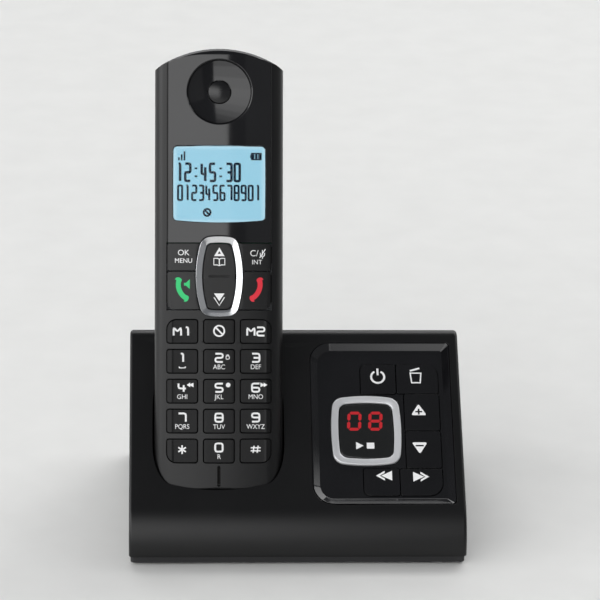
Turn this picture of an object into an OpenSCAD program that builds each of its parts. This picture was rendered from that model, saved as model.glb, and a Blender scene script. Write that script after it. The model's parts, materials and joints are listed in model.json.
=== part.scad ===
// Cordless telephone: a slim handset that stands in a wedge-shaped answering-machine base.
// Millimetres. The origin lies on the table under the middle of the base, +Z is up, the front faces -Y.

/* [Base housing] */
// Overall width of the base
base_w = 123; // [118:1:140]
// Overall depth of the base
base_d = 96; // [92:1:110]
// Height of the crest above the table
crest_h = 66; // [64:1:74]
// Slope of the deck above the horizontal
deck_angle = 40; // [37:1:41]
// Radius of the rolled front edge
nose_r = 20; // [17:1:22]
// Height of the centre of the rolled front edge
nose_z = 4.4; // [4:0.2:6]
// Radius of the crest
crest_r = 4; // [3:0.5:5]
// Height of the upright part of the rear wall
rear_wall_h = 22; // [20:1:25]
// Radius between the rear wall and the rear slope
rear_r = 6; // [4:0.5:8]
// Wall of the base mouldings
base_wall = 2.2; // [1.8:0.1:2.6]
// Softening of the deck's side edges
edge_soft = 1.2; // [0.6:0.1:1.6]
// Height of the rubber feet below the bottom plate
foot_h = 1; // [0.6:0.1:2]
// Thickness of the bottom plate
plate_t = 2.5; // [2.2:0.1:3]

/* [Cradle] */
// Distance of the handset's middle from the base's middle
handset_x = -28.8; // [-31:0.1:-28]
// Backward lean of the docked handset
lean = 22; // [19:0.5:23.5]
// Distance up the deck from the rolled edge to the handset's face
foot_t = 8.8; // [7:0.2:11]
// Depth of the handset's foot below the deck
sink = 2.3; // [1.5:0.1:3.5]
// Gap between the handset and the cradle walls
cradle_gap = 0.6; // [0.4:0.1:0.9]
// Gap between the handset's foot and the cradle floor
floor_gap = 0.2; // [0.1:0.05:0.4]
// Wall of the cradle tub
tub_wall = 1.8; // [1.4:0.1:2.2]

/* [Handset housing] */
// Width of the handset
handset_w = 47; // [46:0.5:50]
// Length of the handset
handset_l = 162; // [160:1:172]
// Thickness of the handset
handset_t = 26; // [25:0.5:27]
// Radius of the crowned front
front_crown_r = 140; // [110:5:200]
// Radius of the crowned back
back_crown_r = 60; // [50:2:80]
// Radius of the front long edges
front_edge_r = 7; // [6:0.5:8]
// Radius of the back long edges
back_edge_r = 9; // [8:0.5:11]
// Radius of the arched top
top_arch_r = 40; // [36:1:50]
// Radius of the arched foot
foot_arch_r = 107; // [95:1:140]
// Radius of the long belly of the back
belly_r = 900; // [700:50:1500]
// Height of the thickest point of the back
belly_z = 75; // [70:1:85]
// Wall of the handset mouldings
shell_wall = 1.8; // [1.5:0.1:2]
// Depth of the parting plane behind the face
parting_y = 11.5; // [11.2:0.1:12]

/* [Faceplate] */
// Width of each side rail beside the faceplate
rail_w = 4.6; // [4.3:0.1:5]
// Depth of the faceplate's back
faceplate_y = 2.4; // [2.2:0.1:2.8]
// Gap of the groove round the faceplate
groove = 0.35; // [0.2:0.05:0.5]
// Margin between the side of the face and the display window
window_side = 1.95; // [1.7:0.05:3.9]
// Height of the display window
window_h = 28.2; // [24:0.1:30]
// Distance from the faceplate's lower edge to the window
window_rise = 7.2; // [6:0.1:8]
// Drop from the handset's top to the middle of the ear dish
ear_drop = 15.8; // [15:0.1:17]
// Diameter of the ear dish
ear_d = 23.8; // [20:0.2:25]
// Depth of the ear dish
ear_depth = 3; // [2.4:0.1:3.2]
// Diameter of the domed button in the ear dish
ear_button_d = 8.2; // [7:0.2:9]

/* [Handset keys] */
// Space between the key columns
key_space = 2.4; // [1.8:0.1:3.9]
// Height of a keypad key
key_h = 8.4; // [7.6:0.1:8.8]
// Distance between key rows
row_pitch = 10.9; // [10.6:0.1:11.4]
// Height of the middle of the lowest row
first_row_z = 15.2; // [14.8:0.1:16]
// Gap round every handset key
key_gap = 0.35; // [0.25:0.05:0.4]
// Rise of the keys above the face
key_rise = 0.5; // [0.3:0.05:0.7]
// Travel of a handset key
key_travel = 0.6; // [0.4:0.05:0.7]
// Height of the block of function keys
function_h = 24.1; // [23:0.1:25]
// Height of the call and end keys
call_h = 13.8; // [12:0.1:15]
// Gap between the keypad and the function keys
function_rise = 3.8; // [3.4:0.1:5]
// Width of the oval navigation ring
ring_w = 17; // [16:0.1:18]
// Height of the oval navigation ring
ring_h = 29.2; // [28:0.1:30]
// Width of the ring's band
ring_band = 2.3; // [1.8:0.1:2.6]
// Rise of the ring above the face
ring_rise = 0.9; // [0.6:0.1:1.2]
// Gap round the navigation key
nav_gap = 0.35; // [0.3:0.05:0.45]

/* [Control panel] */
// Left edge of the panel from the base's middle
panel_left = 5.5; // [5:0.5:8]
// Margin between the panel and the base's right side
panel_margin = 3.5; // [3.4:0.1:4.5]
// Margin between the rolled edge and the panel
panel_front = 1.6; // [1.4:0.1:2.5]
// Margin between the crest's tangent and the panel
panel_back = 2.8; // [2.4:0.1:5]
// Radius of the panel's two left corners
panel_corner = 8; // [6:0.5:10]
// Depth of the panel's floor below the deck
panel_depth = 1.7; // [1.4:0.1:2]
// Width of the sloping wall round the panel
panel_slope = 3; // [2.6:0.1:3.4]
// Thickness of the panel's floor
panel_t = 1.8; // [1.6:0.1:2.2]
// Width of the display frame
frame_w = 26; // [24:0.1:27]
// Height of the display frame
frame_h = 28.2; // [27:0.1:29]
// Width of the display frame's band
frame_band = 2.7; // [2.2:0.1:3]
// Rise of the display frame above the panel's floor
frame_rise = 1; // [0.6:0.1:1.3]
// Distance from the panel's left edge to the frame's middle
frame_u = 20.4; // [19.5:0.1:21]
// Distance from the panel's front edge to the frame's middle
frame_t = 30.2; // [30:0.1:31]
// Margin between the volume keys and the panel's right edge
key_side = 4.6; // [4.4:0.1:6.6]
// Gap between panel keys
panel_key_gap = 0.3; // [0.25:0.05:0.4]
// Travel of a panel key
panel_travel = 0.5; // [0.3:0.05:0.6]

/* [Hidden] */
$fn = 64;
joint_gap = 0.1;      // faces of one body that sit together
fit_gap = 0.2;        // drop-in pieces of one body
flange_w = 0.7;       // retaining flange round a key
flange_t = 0.8;
arc_steps = 8;

// Points of an arc, in order, both ends included.
function arc(c, r, a0, a1, n = arc_steps) =
    [for (i = [0:n]) c + r * [cos(a0 + (a1 - a0) * i / n), sin(a0 + (a1 - a0) * i / n)]];

// Rounded rectangle about its middle; r holds the corner radii from the lower left round to the upper left.
function rounded(w, h, r) = concat(
    arc([w / 2 - r[1], -h / 2 + r[1]], r[1], 270, 360),
    arc([w / 2 - r[2], h / 2 - r[2]], r[2], 0, 90),
    arc([-w / 2 + r[3], h / 2 - r[3]], r[3], 90, 180),
    arc([-w / 2 + r[0], -h / 2 + r[0]], r[0], 180, 270));

// Cushion outline: bowed sides of radius rs, bowed ends of radius rt and round corners of radius r.
function cushion(w, h, rs, rt, r) =
    let (cs = [-(rs - w / 2), 0], ct = [0, -(rt - h / 2)],
         d = norm(ct - cs), p = rs - r, q = rt - r,
         a = (p * p - q * q + d * d) / (2 * d), b = sqrt(p * p - a * a),
         along = (ct - cs) / d, across = [-along[1], along[0]],
         c = cs + along * a + across * b,
         as = atan2(c[1] - cs[1], c[0] - cs[0]), at = atan2(c[1] - ct[1], c[0] - ct[0]))
    concat(
        arc(cs, rs, -as, as), arc(c, r, as, at),
        arc(ct, rt, at, 180 - at), arc([-c[0], c[1]], r, 180 - at, 180 - as),
        arc(-cs, rs, 180 - as, 180 + as), arc(-c, r, 180 + as, 180 + at),
        arc(-ct, rt, 180 + at, 360 - at), arc([c[0], -c[1]], r, 360 - at, 360 - as));

// Base: the profile in Y and Z, every arc keeping its centre as the profile is inset.
plate_top = foot_h + plate_t;
nose_c = [-base_d / 2 + nose_r, nose_z];
deck_n = [-sin(deck_angle), cos(deck_angle)];
deck_dir = [cos(deck_angle), sin(deck_angle)];
deck_0 = nose_c + nose_r * deck_n;
crest_cz = crest_h - crest_r;
crest_c = [(deck_n * deck_0 - crest_r - deck_n[1] * crest_cz) / deck_n[0], crest_cz];
rear_c = [base_d / 2 - rear_r, rear_wall_h];
rear_a = atan2(rear_c[1] - crest_c[1], rear_c[0] - crest_c[0])
    + acos((crest_r - rear_r) / norm(rear_c - crest_c));
deck_l = (crest_c - deck_0) * deck_dir;

function base_profile(inset, bottom) =
    let (r = nose_r - inset, start = 180 + asin((nose_z - bottom) / r))
    concat(
        arc(nose_c, r, start, 90 + deck_angle, 2 * arc_steps),
        arc(crest_c, crest_r - inset, 90 + deck_angle, rear_a),
        arc(rear_c, rear_r - inset, rear_a, 0),
        [[base_d / 2 - inset, bottom]]);

// Handset: its own frame has x across, y from the face to the back and z from the foot to the top.
foot_p = deck_0 + foot_t * deck_dir;
handset_0 = foot_p - sink * [sin(lean), cos(lean)];
half_w = handset_w / 2;
front_cx = half_w - front_edge_r;
back_cx = half_w - back_edge_r;
front_a = asin(front_cx / (front_crown_r - front_edge_r));
back_a = asin(back_cx / (back_crown_r - back_edge_r));
front_cy = front_crown_r - (front_crown_r - front_edge_r) * cos(front_a);
back_cy = handset_t - back_crown_r + (back_crown_r - back_edge_r) * cos(back_a);

function section(inset) = concat(
    arc([0, front_crown_r], front_crown_r - inset, 270 - front_a, 270 + front_a),
    arc([front_cx, front_cy], front_edge_r - inset, 270 + front_a, 360),
    arc([back_cx, back_cy], back_edge_r - inset, 0, 90 - back_a),
    arc([0, handset_t - back_crown_r], back_crown_r - inset, 90 - back_a, 90 + back_a),
    arc([-back_cx, back_cy], back_edge_r - inset, 90 + back_a, 180),
    arc([-front_cx, front_cy], front_edge_r - inset, 180, 270 - front_a));

// Keypad: columns 0 to 2 from the left, rows 0 to 4 from the foot.
key_floor = 2.6;                                   // inside of the front wall under the keys
plate_floor = faceplate_y + 1.2;                   // inside of the front wall under the faceplate
board_y = 7.5;                                     // front of the handset's circuit board
board_t = 1.2;
face_half = half_w - rail_w;
key_w = 2 * (face_half - key_space) / 3;
col_pitch = key_w + key_space;
key_corner = 0.8;
block_corner = 3.4;                                // outer corners of the whole keypad
lip_w = 1.2;                                       // raised outer edge of the outer keys
dish_y = 0.55;                                     // depth of those keys beside the edge
function row_z(row) = first_row_z + row * row_pitch;
fn_z0 = row_z(4) + key_h / 2 + function_rise;
fn_z1 = fn_z0 + function_h;
nav_z = (fn_z0 + fn_z1) / 2;
face_z = fn_z1 + key_gap;
ring_seat = 0.6;                                   // depth of the ring's seat in the face
ring_side_r = 42;
ring_end_r = 30;
ring_corner = 4;
window_w = 2 * (face_half - window_side);
window_z = face_z + window_rise + window_h / 2;
lcd_y = plate_floor + joint_gap;
lcd_t = 1.7;
ear_z = handset_l - ear_drop;
ear_r = (ear_d * ear_d / 4 + ear_depth * ear_depth) / (2 * ear_depth);
ear_c = [0, ear_depth - ear_r, ear_z];
ear_back = ear_depth + 1.8;                        // flat back of the dish
key_under = key_floor + joint_gap + flange_t;      // underside of a key at rest
mat_top = key_under + key_travel + fit_gap;
mat_y = board_y - 1.3;
nav_axis_y = key_floor + joint_gap + 0.9;
nav_under = nav_axis_y + 0.9;
screw_x = half_w - 10;
screw_z = window_z + window_h / 2 + 7;
seat_y = parting_y + 2.6;                          // under the head of a handset screw
mic_z = 6.2;
mic_r = 3;
mic_h = 2.5;
mic_slot_w = 1.1;
mic_slot_l = 7.6;
board_z0 = 8;                                      // lower end of the handset's board
chip_t = 1.5;                                      // height of the chips on both boards
chip_w = 14;

// Battery compartment in the back of the handset.
cell_d = 10.4;
cell_l = 44.5;
bay_half = cell_d + 1.2;
bay_l = cell_l + 7;
door_lap = 2;                                      // how far the door reaches past the compartment
door_clear = 4.4;                                  // room above the crest to lift the door off
door_z0 = (crest_h - handset_0[1] + handset_t * sin(lean)) / cos(lean) + door_clear;
bay_z = door_z0 + door_lap;
bay_floor = parting_y + 1.2;
cell_y = bay_floor + 0.2 + cell_d / 2;
door_half = bay_half + 2.4;
door_z1 = bay_z + bay_l + door_lap;
door_t = 1.6;
grip_n = 4;                                        // thumb grooves across the door
grip_pitch = 2.4;
grip_w = 1.1;
grip_half = 6.5;
grip_depth = 0.6;
grip_z = door_z1 - 14;

// Charging contacts, in the handset's frame.
pad_x = 10;
pad_y = parting_y + 4;
function foot_at(x) = foot_arch_r - sqrt(foot_arch_r * foot_arch_r - x * x);
pad_z = foot_at(pad_x) + 0.8;
ringer_r = 9.4;
ringer_h = 3;
ringer_slot_l = 13;
ringer_slot_w = 1.2;
ringer_pitch = 2.6;
ringer_z = handset_l - 21;
function back_at(z) = handset_t - belly_r + sqrt(belly_r * belly_r - (z - belly_z) * (z - belly_z));
ringer_y = back_at(ringer_z) - shell_wall - 0.8;

// Control panel, in its own frame: x across, y up the deck, both from its lower left corner, z off the deck.
panel_w = base_w / 2 - panel_margin - panel_left;
panel_l = deck_l - panel_back - panel_front;
panel_flange = min(1.2, panel_margin - base_wall - joint_gap);
panel_under = panel_depth + panel_t;
frame_corner = 4.4;
window_corner = 3;
frame_side_r = 90;
frame_end_r = 60;
frame_gap = 1.5;                                   // between the frame and the volume keys
row_gap = 1.1;                                     // between the frame and the rows before and behind it
front_row_h = 10.9;
back_row_h = 12.2;
block_l = frame_u - 1.5;
block_split = frame_u + frame_w / 2 - 1.2;
block_in = frame_u + frame_w / 2 + frame_gap;
block_r = panel_w - key_side;
row_f = frame_t - frame_h / 2 - row_gap;
row_b = frame_t + frame_h / 2 + row_gap;
block_f = row_f - front_row_h;
block_b = row_b + back_row_h;
panel_key_under = panel_under + joint_gap + flange_t;
switch_top = panel_key_under + panel_travel + fit_gap;
pad_h = 4;                                         // height of the switch pads under the panel keys
panel_board_w = switch_top + pad_h;
led_w = 16.8;
led_l = 18;

// Lower works of the base: speaker on the right, board on the left with its sockets at the back.
speaker_x = base_w / 4 + 1;
speaker_y = base_d / 2 - 34;
speaker_r = 19;
speaker_rim = 2.2;
cone_h = 4.4;
magnet_r = 10;
magnet_h = 4;
speaker_wall = 1.6;
slot_l = 28;
slot_w = 1.6;
slot_pitch = 4.4;
pcb_t = 1.6;
post_h = 2.5;
post_r = 2.4;
post_in = 4;                                       // from the board's edges to its posts
board_z = plate_top + post_h;
board_x0 = -base_w / 2 + 11.5;
board_x1 = speaker_x - speaker_r - 10.75;
board_y0 = -base_d / 2 + 18;
board_y1 = base_d / 2 - 5;
can_r = 4;                                         // smoothing capacitors
can_h = 7.4;
jack_w = 12.6;
jack_h = 11.5;
jack_l = 16;
jack_z = board_z + pcb_t;
jack_back = base_d / 2 - base_wall - joint_gap;
power_x = board_x0 + 12;
line_x = power_x + 22;
boss_r = 4;
boss_x = base_w / 2 - base_wall - 3.8;
boss_f = -base_d / 2 + 14;
boss_b = base_d / 2 - 8;
foot_r = 5;
foot_x = base_w / 2 - 15.5;
foot_f = -base_d / 2 + 10;
foot_b = base_d / 2 - 8;

// Frames and extrusions
module in_handset() {
    translate([handset_x, handset_0[0], handset_0[1]]) rotate([-lean, 0, 0]) children();
}
module on_deck() {
    translate([0, deck_0[0], deck_0[1]]) rotate([deck_angle, 0, 0]) children();
}
module in_panel() {
    on_deck() translate([panel_left, panel_front, 0]) children();
}
// A profile drawn in x and z, drawn out in depth from y0 to y1
module depth(y0, y1) {
    rotate([90, 0, 0]) translate([0, 0, -y1]) linear_extrude(y1 - y0) children();
}
// A profile drawn in Y and Z, drawn out across the base
module across(w) {
    rotate([90, 0, 90]) linear_extrude(w, center = true) children();
}
module slab(z0, z1) {
    translate([0, 0, z0]) linear_extrude(z1 - z0) children();
}
module box(x0, x1, y0, y1, z0, z1) {
    translate([x0, y0, z0]) cube([x1 - x0, y1 - y0, z1 - z0]);
}
module rod(x, z, r, y0, y1) {
    translate([x, y0, z]) rotate([-90, 0, 0]) cylinder(r = r, h = y1 - y0);
}

// Handset outlines in x and z
module key_outline(col, row, grow = 0) {
    r = key_corner + grow;
    big = block_corner + grow;
    translate([(col - 1) * col_pitch, row_z(row)])
        polygon(rounded(key_w + 2 * grow, key_h + 2 * grow, [
            row == 0 && col == 0 ? big : r, row == 0 && col == 2 ? big : r,
            row == 4 && col == 2 ? big : r, row == 4 && col == 0 ? big : r]));
}
module ring_outline(grow = 0) {
    translate([0, nav_z])
        polygon(cushion(ring_w + 2 * grow, ring_h + 2 * grow, ring_side_r + grow, ring_end_r + grow,
            ring_corner + grow));
}
module nav_outline(grow = 0) {
    ring_outline(grow - ring_band);
}
// Left function key between two heights; the outer lower corner can be round.
module function_outline(z0, z1, r) {
    difference() {
        translate([-face_half / 2, (z0 + z1) / 2]) polygon(rounded(face_half, z1 - z0, [r, 0.5, 0.5, 0.8]));
        ring_outline(key_gap);
    }
}
module window_outline(grow = 0) {
    translate([0, window_z])
        polygon(cushion(window_w + 2 * grow, window_h + 2 * grow, 900, 160 + grow, 1.2 + grow));
}
module door_outline(grow = 0) {
    translate([0, (door_z0 + door_z1) / 2])
        polygon(rounded(2 * door_half + 2 * grow, door_z1 - door_z0 + 2 * grow, [1, 1, 1, 1] * (2 + grow)));
}

// Whole outer form of the handset, or the same form inset by a wall
module end_disc(r, front, back, inset) {
    rotate([-90, 0, 0]) rotate_extrude($fn = 144)
        polygon(concat([[0, inset]],
            arc([r - front, front], front - inset, 270, 360),
            arc([r - back, handset_t - back], back - inset, 0, 90),
            [[0, handset_t - inset]]));
}
module handset_form(inset) {
    intersection() {
        linear_extrude(handset_l) polygon(section(inset));
        union() {
            translate([0, 0, handset_l - top_arch_r]) end_disc(top_arch_r, 2.6, 9, inset);
            box(-half_w - 1, half_w + 1, -1, handset_t + 1, -1, handset_l - top_arch_r);
        }
        union() {
            translate([0, 0, foot_arch_r]) end_disc(foot_arch_r, 2.4, 7, inset);
            box(-half_w - 1, half_w + 1, -1, handset_t + 1, foot_arch_r, handset_l + 1);
        }
        translate([0, handset_t - belly_r, belly_z]) rotate([0, 90, 0])
            cylinder(r = belly_r - inset, h = handset_w + 2, center = true, $fn = 256);
    }
}

// Moulded front half of the handset, pierced for the keys, the display and the ear dish
module handset_front_cover() {
    color("#1b1b1d") in_handset() difference() {
        intersection() {
            handset_form(0);
            box(-half_w - 1, half_w + 1, -1, parting_y, -1, handset_l + 1);
        }
        difference() {
            handset_form(shell_wall);
            box(-half_w, half_w, -1, key_floor, -1, handset_l);
            box(-half_w, half_w, -1, plate_floor, face_z, handset_l);
            for (s = [-1, 1]) {
                // ledges that carry the circuit board
                for (z = [row_z(1), window_z - window_h / 4])
                    translate([s * (half_w - 1.6), board_y / 2, z + 8])
                        cube([3.2, board_y, 16], center = true);
                rod(s * screw_x, screw_z, 3, 0, parting_y + 1);
            }
            // ring that holds the microphone
            difference() {
                rod(0, mic_z, mic_r + 0.9, 0, key_floor + 1.8);
                rod(0, mic_z, mic_r + joint_gap, key_floor, key_floor + 2);
            }
        }
        depth(-1, faceplate_y) {
            translate([-face_half - groove / 2, fn_z1]) square([2 * face_half + groove, handset_l]);
        }
        for (col = [0:2], row = [0:4]) {
            depth(-1, key_floor + 0.5) key_outline(col, row, key_gap);
            depth(key_floor, mat_top) key_outline(col, row, flange_w + fit_gap);
        }
        depth(-1, plate_floor + 0.5) difference() {
            translate([-face_half - key_gap, fn_z0 - key_gap])
                square([2 * (face_half + key_gap), function_h + 2 * key_gap]);
            ring_outline();
        }
        box(-face_half - flange_w - fit_gap, face_half + flange_w + fit_gap,
            key_floor, mat_top, fn_z0, fn_z1);
        depth(-1, plate_floor + 0.5) nav_outline();
        depth(-1, ring_seat) ring_outline(0.15);
        depth(1, plate_floor + 0.5) window_outline(1.8);
        rod(0, ear_z, ear_d / 2 + 1.2, 1, plate_floor + 0.5);
        depth(-1, key_floor + 0.5) translate([0, mic_z - 0.2])
            polygon(rounded(mic_slot_w, mic_slot_l, [1, 1, 1, 1] * 0.5));
        for (s = [-1, 1]) rod(s * screw_x, screw_z, 0.9, plate_floor + 1, parting_y + 1);
    }
}

// Moulded rear half with the battery compartment, the ringer slots and the contact openings
module handset_rear_cover() {
    color("#1b1b1d") in_handset() difference() {
        intersection() {
            handset_form(0);
            box(-half_w - 1, half_w + 1, parting_y + 0.15, handset_t + 1, -1, handset_l + 1);
        }
        difference() {
            handset_form(shell_wall);
            box(-door_half - 1, door_half + 1, parting_y, handset_t, door_z0 - 1, door_z1 + 1);
            for (s = [-1, 1]) rod(s * screw_x, screw_z, 3.9, parting_y, handset_t);
            difference() {
                rod(0, ringer_z, ringer_r + 1.6, ringer_y - ringer_h, handset_t);
                rod(0, ringer_z, ringer_r + fit_gap, ringer_y - ringer_h - 1, handset_t);
            }
        }
        box(-bay_half, bay_half, bay_floor, handset_t + 1, bay_z, bay_z + bay_l);
        difference() {
            depth(bay_floor, handset_t + 1) door_outline(0.25);
            translate([0, -door_t - joint_gap, 0]) handset_form(0);
        }
        for (i = [-2:2])
            depth(ringer_y - 1, handset_t + 1) translate([0, ringer_z + i * ringer_pitch])
                polygon(rounded(ringer_slot_l - abs(i) * 2, ringer_slot_w, [1, 1, 1, 1] * 0.5));
        for (s = [-1, 1]) {
            rod(s * screw_x, screw_z, 1.1, parting_y, handset_t);
            rod(s * screw_x, screw_z, 2.5, seat_y, handset_t);
            box(s * pad_x - 2.5, s * pad_x + 2.5, pad_y - 2, pad_y + 2, -1, pad_z + 3);
        }
    }
}

// Gloss insert of the upper face, with the ear dish sunk in it and the display window cut out
module faceplate() {
    color("#0d0d0f") in_handset() difference() {
        union() {
            intersection() {
                handset_form(0);
                depth(-1, faceplate_y) difference() {
                    translate([-face_half + groove / 2, face_z]) square([2 * face_half - groove, handset_l]);
                    ring_outline(key_gap);
                }
            }
            intersection() {
                translate(ear_c) sphere(r = ear_r + 1.4, $fn = 96);
                rod(0, ear_z, ear_d / 2 + 0.6, faceplate_y - 0.6, ear_back);
            }
            rod(0, ear_z, ear_button_d / 2 + 3.6, faceplate_y - 0.6, ear_back);
        }
        translate(ear_c) sphere(r = ear_r, $fn = 96);
        rod(0, ear_z, ear_button_d / 2 + 0.5, 0, ear_back + 1);
        depth(-1, faceplate_y + 1) window_outline();
    }
}

// Domed button in the ear dish on a pierced disc that is bonded behind the dish
module earpiece_grille() {
    color("#17171a") in_handset() difference() {
        union() {
            rod(0, ear_z, ear_button_d / 2 + 3, ear_back, ear_back + 1);
            intersection() {
                rod(0, ear_z, ear_button_d / 2, 0, ear_back + 1);
                translate([0, 1.3 + ear_button_d, ear_z]) sphere(r = ear_button_d, $fn = 72);
            }
        }
        for (a = [0:60:300])
            rod((ear_button_d / 2 + 1) * cos(a), ear_z + (ear_button_d / 2 + 1) * sin(a), 0.6, ear_back - 1,
                ear_back + 2);
    }
}

// Clear window of the display, flanged behind the faceplate
module display_lens() {
    color("#9fd3ea", 0.6) in_handset() union() {
        intersection() {
            linear_extrude(handset_l) polygon(section(0.15));
            depth(-1, faceplate_y + 0.4) window_outline(-0.1);
        }
        depth(faceplate_y, faceplate_y + 0.8) window_outline(1.6);
    }
}
module lcd_panel() {
    color("#93cfe8") in_handset()
        box(-window_w / 2 - 1, window_w / 2 + 1, lcd_y, lcd_y + lcd_t,
            window_z - window_h / 2 - 1, window_z + window_h / 2 + 1);
}
module lcd_backlight() {
    color("#e6e8ea") in_handset()
        box(-window_w / 2 - 1.6, window_w / 2 + 1.6, lcd_y + lcd_t, board_y,
            window_z - window_h / 2 - 1.6, window_z + window_h / 2 + 2);
}
module receiver_capsule() {
    color("#4a4a4e") in_handset() union() {
        rod(0, ear_z, 9.8, ear_back + 1, ear_back + 4.4);
        rod(0, ear_z, 6, ear_back + 4.4, ear_back + 5.4);
    }
}
// Bright trim ring round the navigation key
module nav_ring() {
    color("#c9ccd0") in_handset() difference() {
        hull() {
            depth(-ring_rise / 2, ring_seat) ring_outline();
            depth(-ring_rise, ring_seat) ring_outline(-0.6);
        }
        hull() {
            depth(-ring_rise / 2, 1) nav_outline();
            depth(-ring_rise - 0.6, 1) nav_outline(0.4);
        }
        depth(-1, 1) nav_outline();
    }
}
// Silicone sheet with a raised pad under every key
module handset_keypad_mat() {
    color("#8f9296") in_handset() union() {
        depth(mat_y, board_y) translate([0, (board_z0 + fn_z1) / 2])
            square([2 * face_half + 1, fn_z1 - board_z0], center = true);
        for (col = [0:2], row = [0:4])
            rod((col - 1) * col_pitch, row_z(row), 2.6, mat_top, mat_y + 0.2);
        for (s = [-1, 1]) {
            rod(s * (face_half - 3.6), fn_z0 + call_h / 2, 2.4, mat_top, mat_y + 0.2);
            rod(s * (face_half - 3.6), (fn_z0 + call_h + fn_z1) / 2, 2.4, mat_top, mat_y + 0.2);
            rod(0, nav_z + s * 7.6, 2, nav_under + 0.7, mat_y + 0.2);
        }
    }
}
module handset_board() {
    back = board_y + board_t;
    color("#1f5a3a") in_handset() union() {
        box(-half_w + 2.6, half_w - 2.6, board_y, back, board_z0, window_z + window_h / 2 + 3);
        for (c = [[0, row_z(2)], [-chip_w / 2, nav_z], [chip_w / 2, window_z]])
            translate([c[0], back + chip_t / 2 - 0.1, c[1]])
                cube([chip_w, chip_t + 0.2, chip_w], center = true);
    }
}
module microphone() {
    color("#b9bcc0") in_handset()
        rod(0, mic_z, mic_r, key_floor + joint_gap, key_floor + joint_gap + mic_h);
}
module battery_cells() {
    color("#3c7f5d") in_handset() for (s = [-1, 1]) {
        translate([s * (cell_d / 2 + 0.2), cell_y, bay_z + (bay_l - cell_l) / 2]) {
            cylinder(d = cell_d, h = cell_l - 1);
            translate([0, 0, cell_l - 1]) cylinder(d = 3.8, h = 1);
        }
    }
}
// Sprung contact leaves at both ends of the compartment
module battery_contacts() {
    color("#c3c5c8") in_handset() for (s = [-1, 1], e = [0, 1])
        translate([s * (cell_d / 2 + 0.2), cell_y, bay_z + joint_gap + e * (bay_l - 2 * joint_gap)])
            mirror([0, 0, e]) rotate([90, 0, 90]) linear_extrude(6, center = true)
                polygon([[-4.4, 0], [4.4, 0], [4.4, 0.4], [0.4, 3.2], [-0.4, 3.2], [-1.2, 2.6],
                    [2.8, 0.4], [-4.4, 0.4]]);
}
module handset_charge_contacts() {
    color("#d2d4d7") in_handset() for (s = [-1, 1]) union() {
        box(s * pad_x - 2.4, s * pad_x + 2.4, pad_y - 1.9, pad_y + 1.9, pad_z, pad_z + 2.2);
        box(s * pad_x - 3.2, s * pad_x + 3.2, pad_y - 2.7, pad_y + 2.7,
            foot_at(pad_x + 3.2) + shell_wall + joint_gap, foot_at(pad_x + 3.2) + shell_wall + 0.7);
    }
}
module handsfree_speaker() {
    color("#3a3a3d") in_handset() union() {
        rod(0, ringer_z, ringer_r, ringer_y - ringer_h, ringer_y);
        rod(0, ringer_z, ringer_r * 0.6, ringer_y - 1.5 * ringer_h, ringer_y - ringer_h);
    }
}
module handset_screws() {
    color("#8d8f93") in_handset() for (s = [-1, 1]) union() {
        rod(s * screw_x, screw_z, 2.1, seat_y, seat_y + 1.4);
        rod(s * screw_x, screw_z, 0.85, plate_floor + 1.6, seat_y + 0.4);
    }
}

// Keypad key: it follows the crowned face, the outer columns keep a raised outer lip
module keypad_key(col, row) {
    x = (col - 1) * col_pitch;
    color("#141416") in_handset() union() {
        difference() {
            intersection() {
                depth(-2, key_under) key_outline(col, row);
                linear_extrude(handset_l) polygon(section(-key_rise));
            }
            if (col != 1) mirror([col == 0 ? 1 : 0, 0, 0]) linear_extrude(handset_l)
                translate([col_pitch + key_w / 2, 0])
                    polygon([[-1.5 * key_w, -3], [-1.5 * key_w, dish_y], [-lip_w - 1.4, dish_y + 0.2],
                        [-lip_w, dish_y - 0.15], [-lip_w, -3]]);
        }
        depth(key_under - flange_t, key_under) key_outline(col, row, flange_w);
    }
}
// Function key of the left pair, or of the right pair by mirroring
module function_key(side, z0, z1, r) {
    color("#141416") in_handset() mirror([side > 0 ? 1 : 0, 0, 0]) union() {
        intersection() {
            depth(-2, key_under) function_outline(z0, z1, r);
            linear_extrude(handset_l) polygon(section(-key_rise / 2));
        }
        box(-face_half - flange_w, -face_half + 2, key_under - flange_t, key_under, z0 + 2.6, z1 - 1.2);
    }
}
// Rocker inside the ring, on two side pins
module nav_key() {
    color("#141416") in_handset() union() {
        difference() {
            depth(-0.4, nav_under) nav_outline(-nav_gap);
            depth(-1, 0) translate([0, nav_z]) square([7.4, 0.5], center = true);
        }
        translate([-ring_w / 2 + 0.6, nav_axis_y, nav_z]) rotate([0, 90, 0])
            cylinder(r = 0.9, h = ring_w - 1.2);
    }
}
// Snap-on door over the two cells, with locating ribs inside
module battery_door() {
    color("#18181a") in_handset() union() {
        difference() {
            intersection() {
                handset_form(0);
                depth(bay_floor, handset_t + 1) door_outline();
            }
            translate([0, -door_t, 0]) handset_form(0);
            for (i = [0:grip_n - 1])
                box(-grip_half, grip_half, back_at(grip_z) - grip_depth, handset_t + 1,
                    grip_z + i * grip_pitch, grip_z + i * grip_pitch + grip_w);
        }
        for (s = [-1, 1])
            box(s * (bay_half - 0.9) - 0.5, s * (bay_half - 0.9) + 0.5, cell_y + 3.8,
                back_at(door_z0) - door_t - 0.6, bay_z + 16, bay_z + 34);
    }
}

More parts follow.
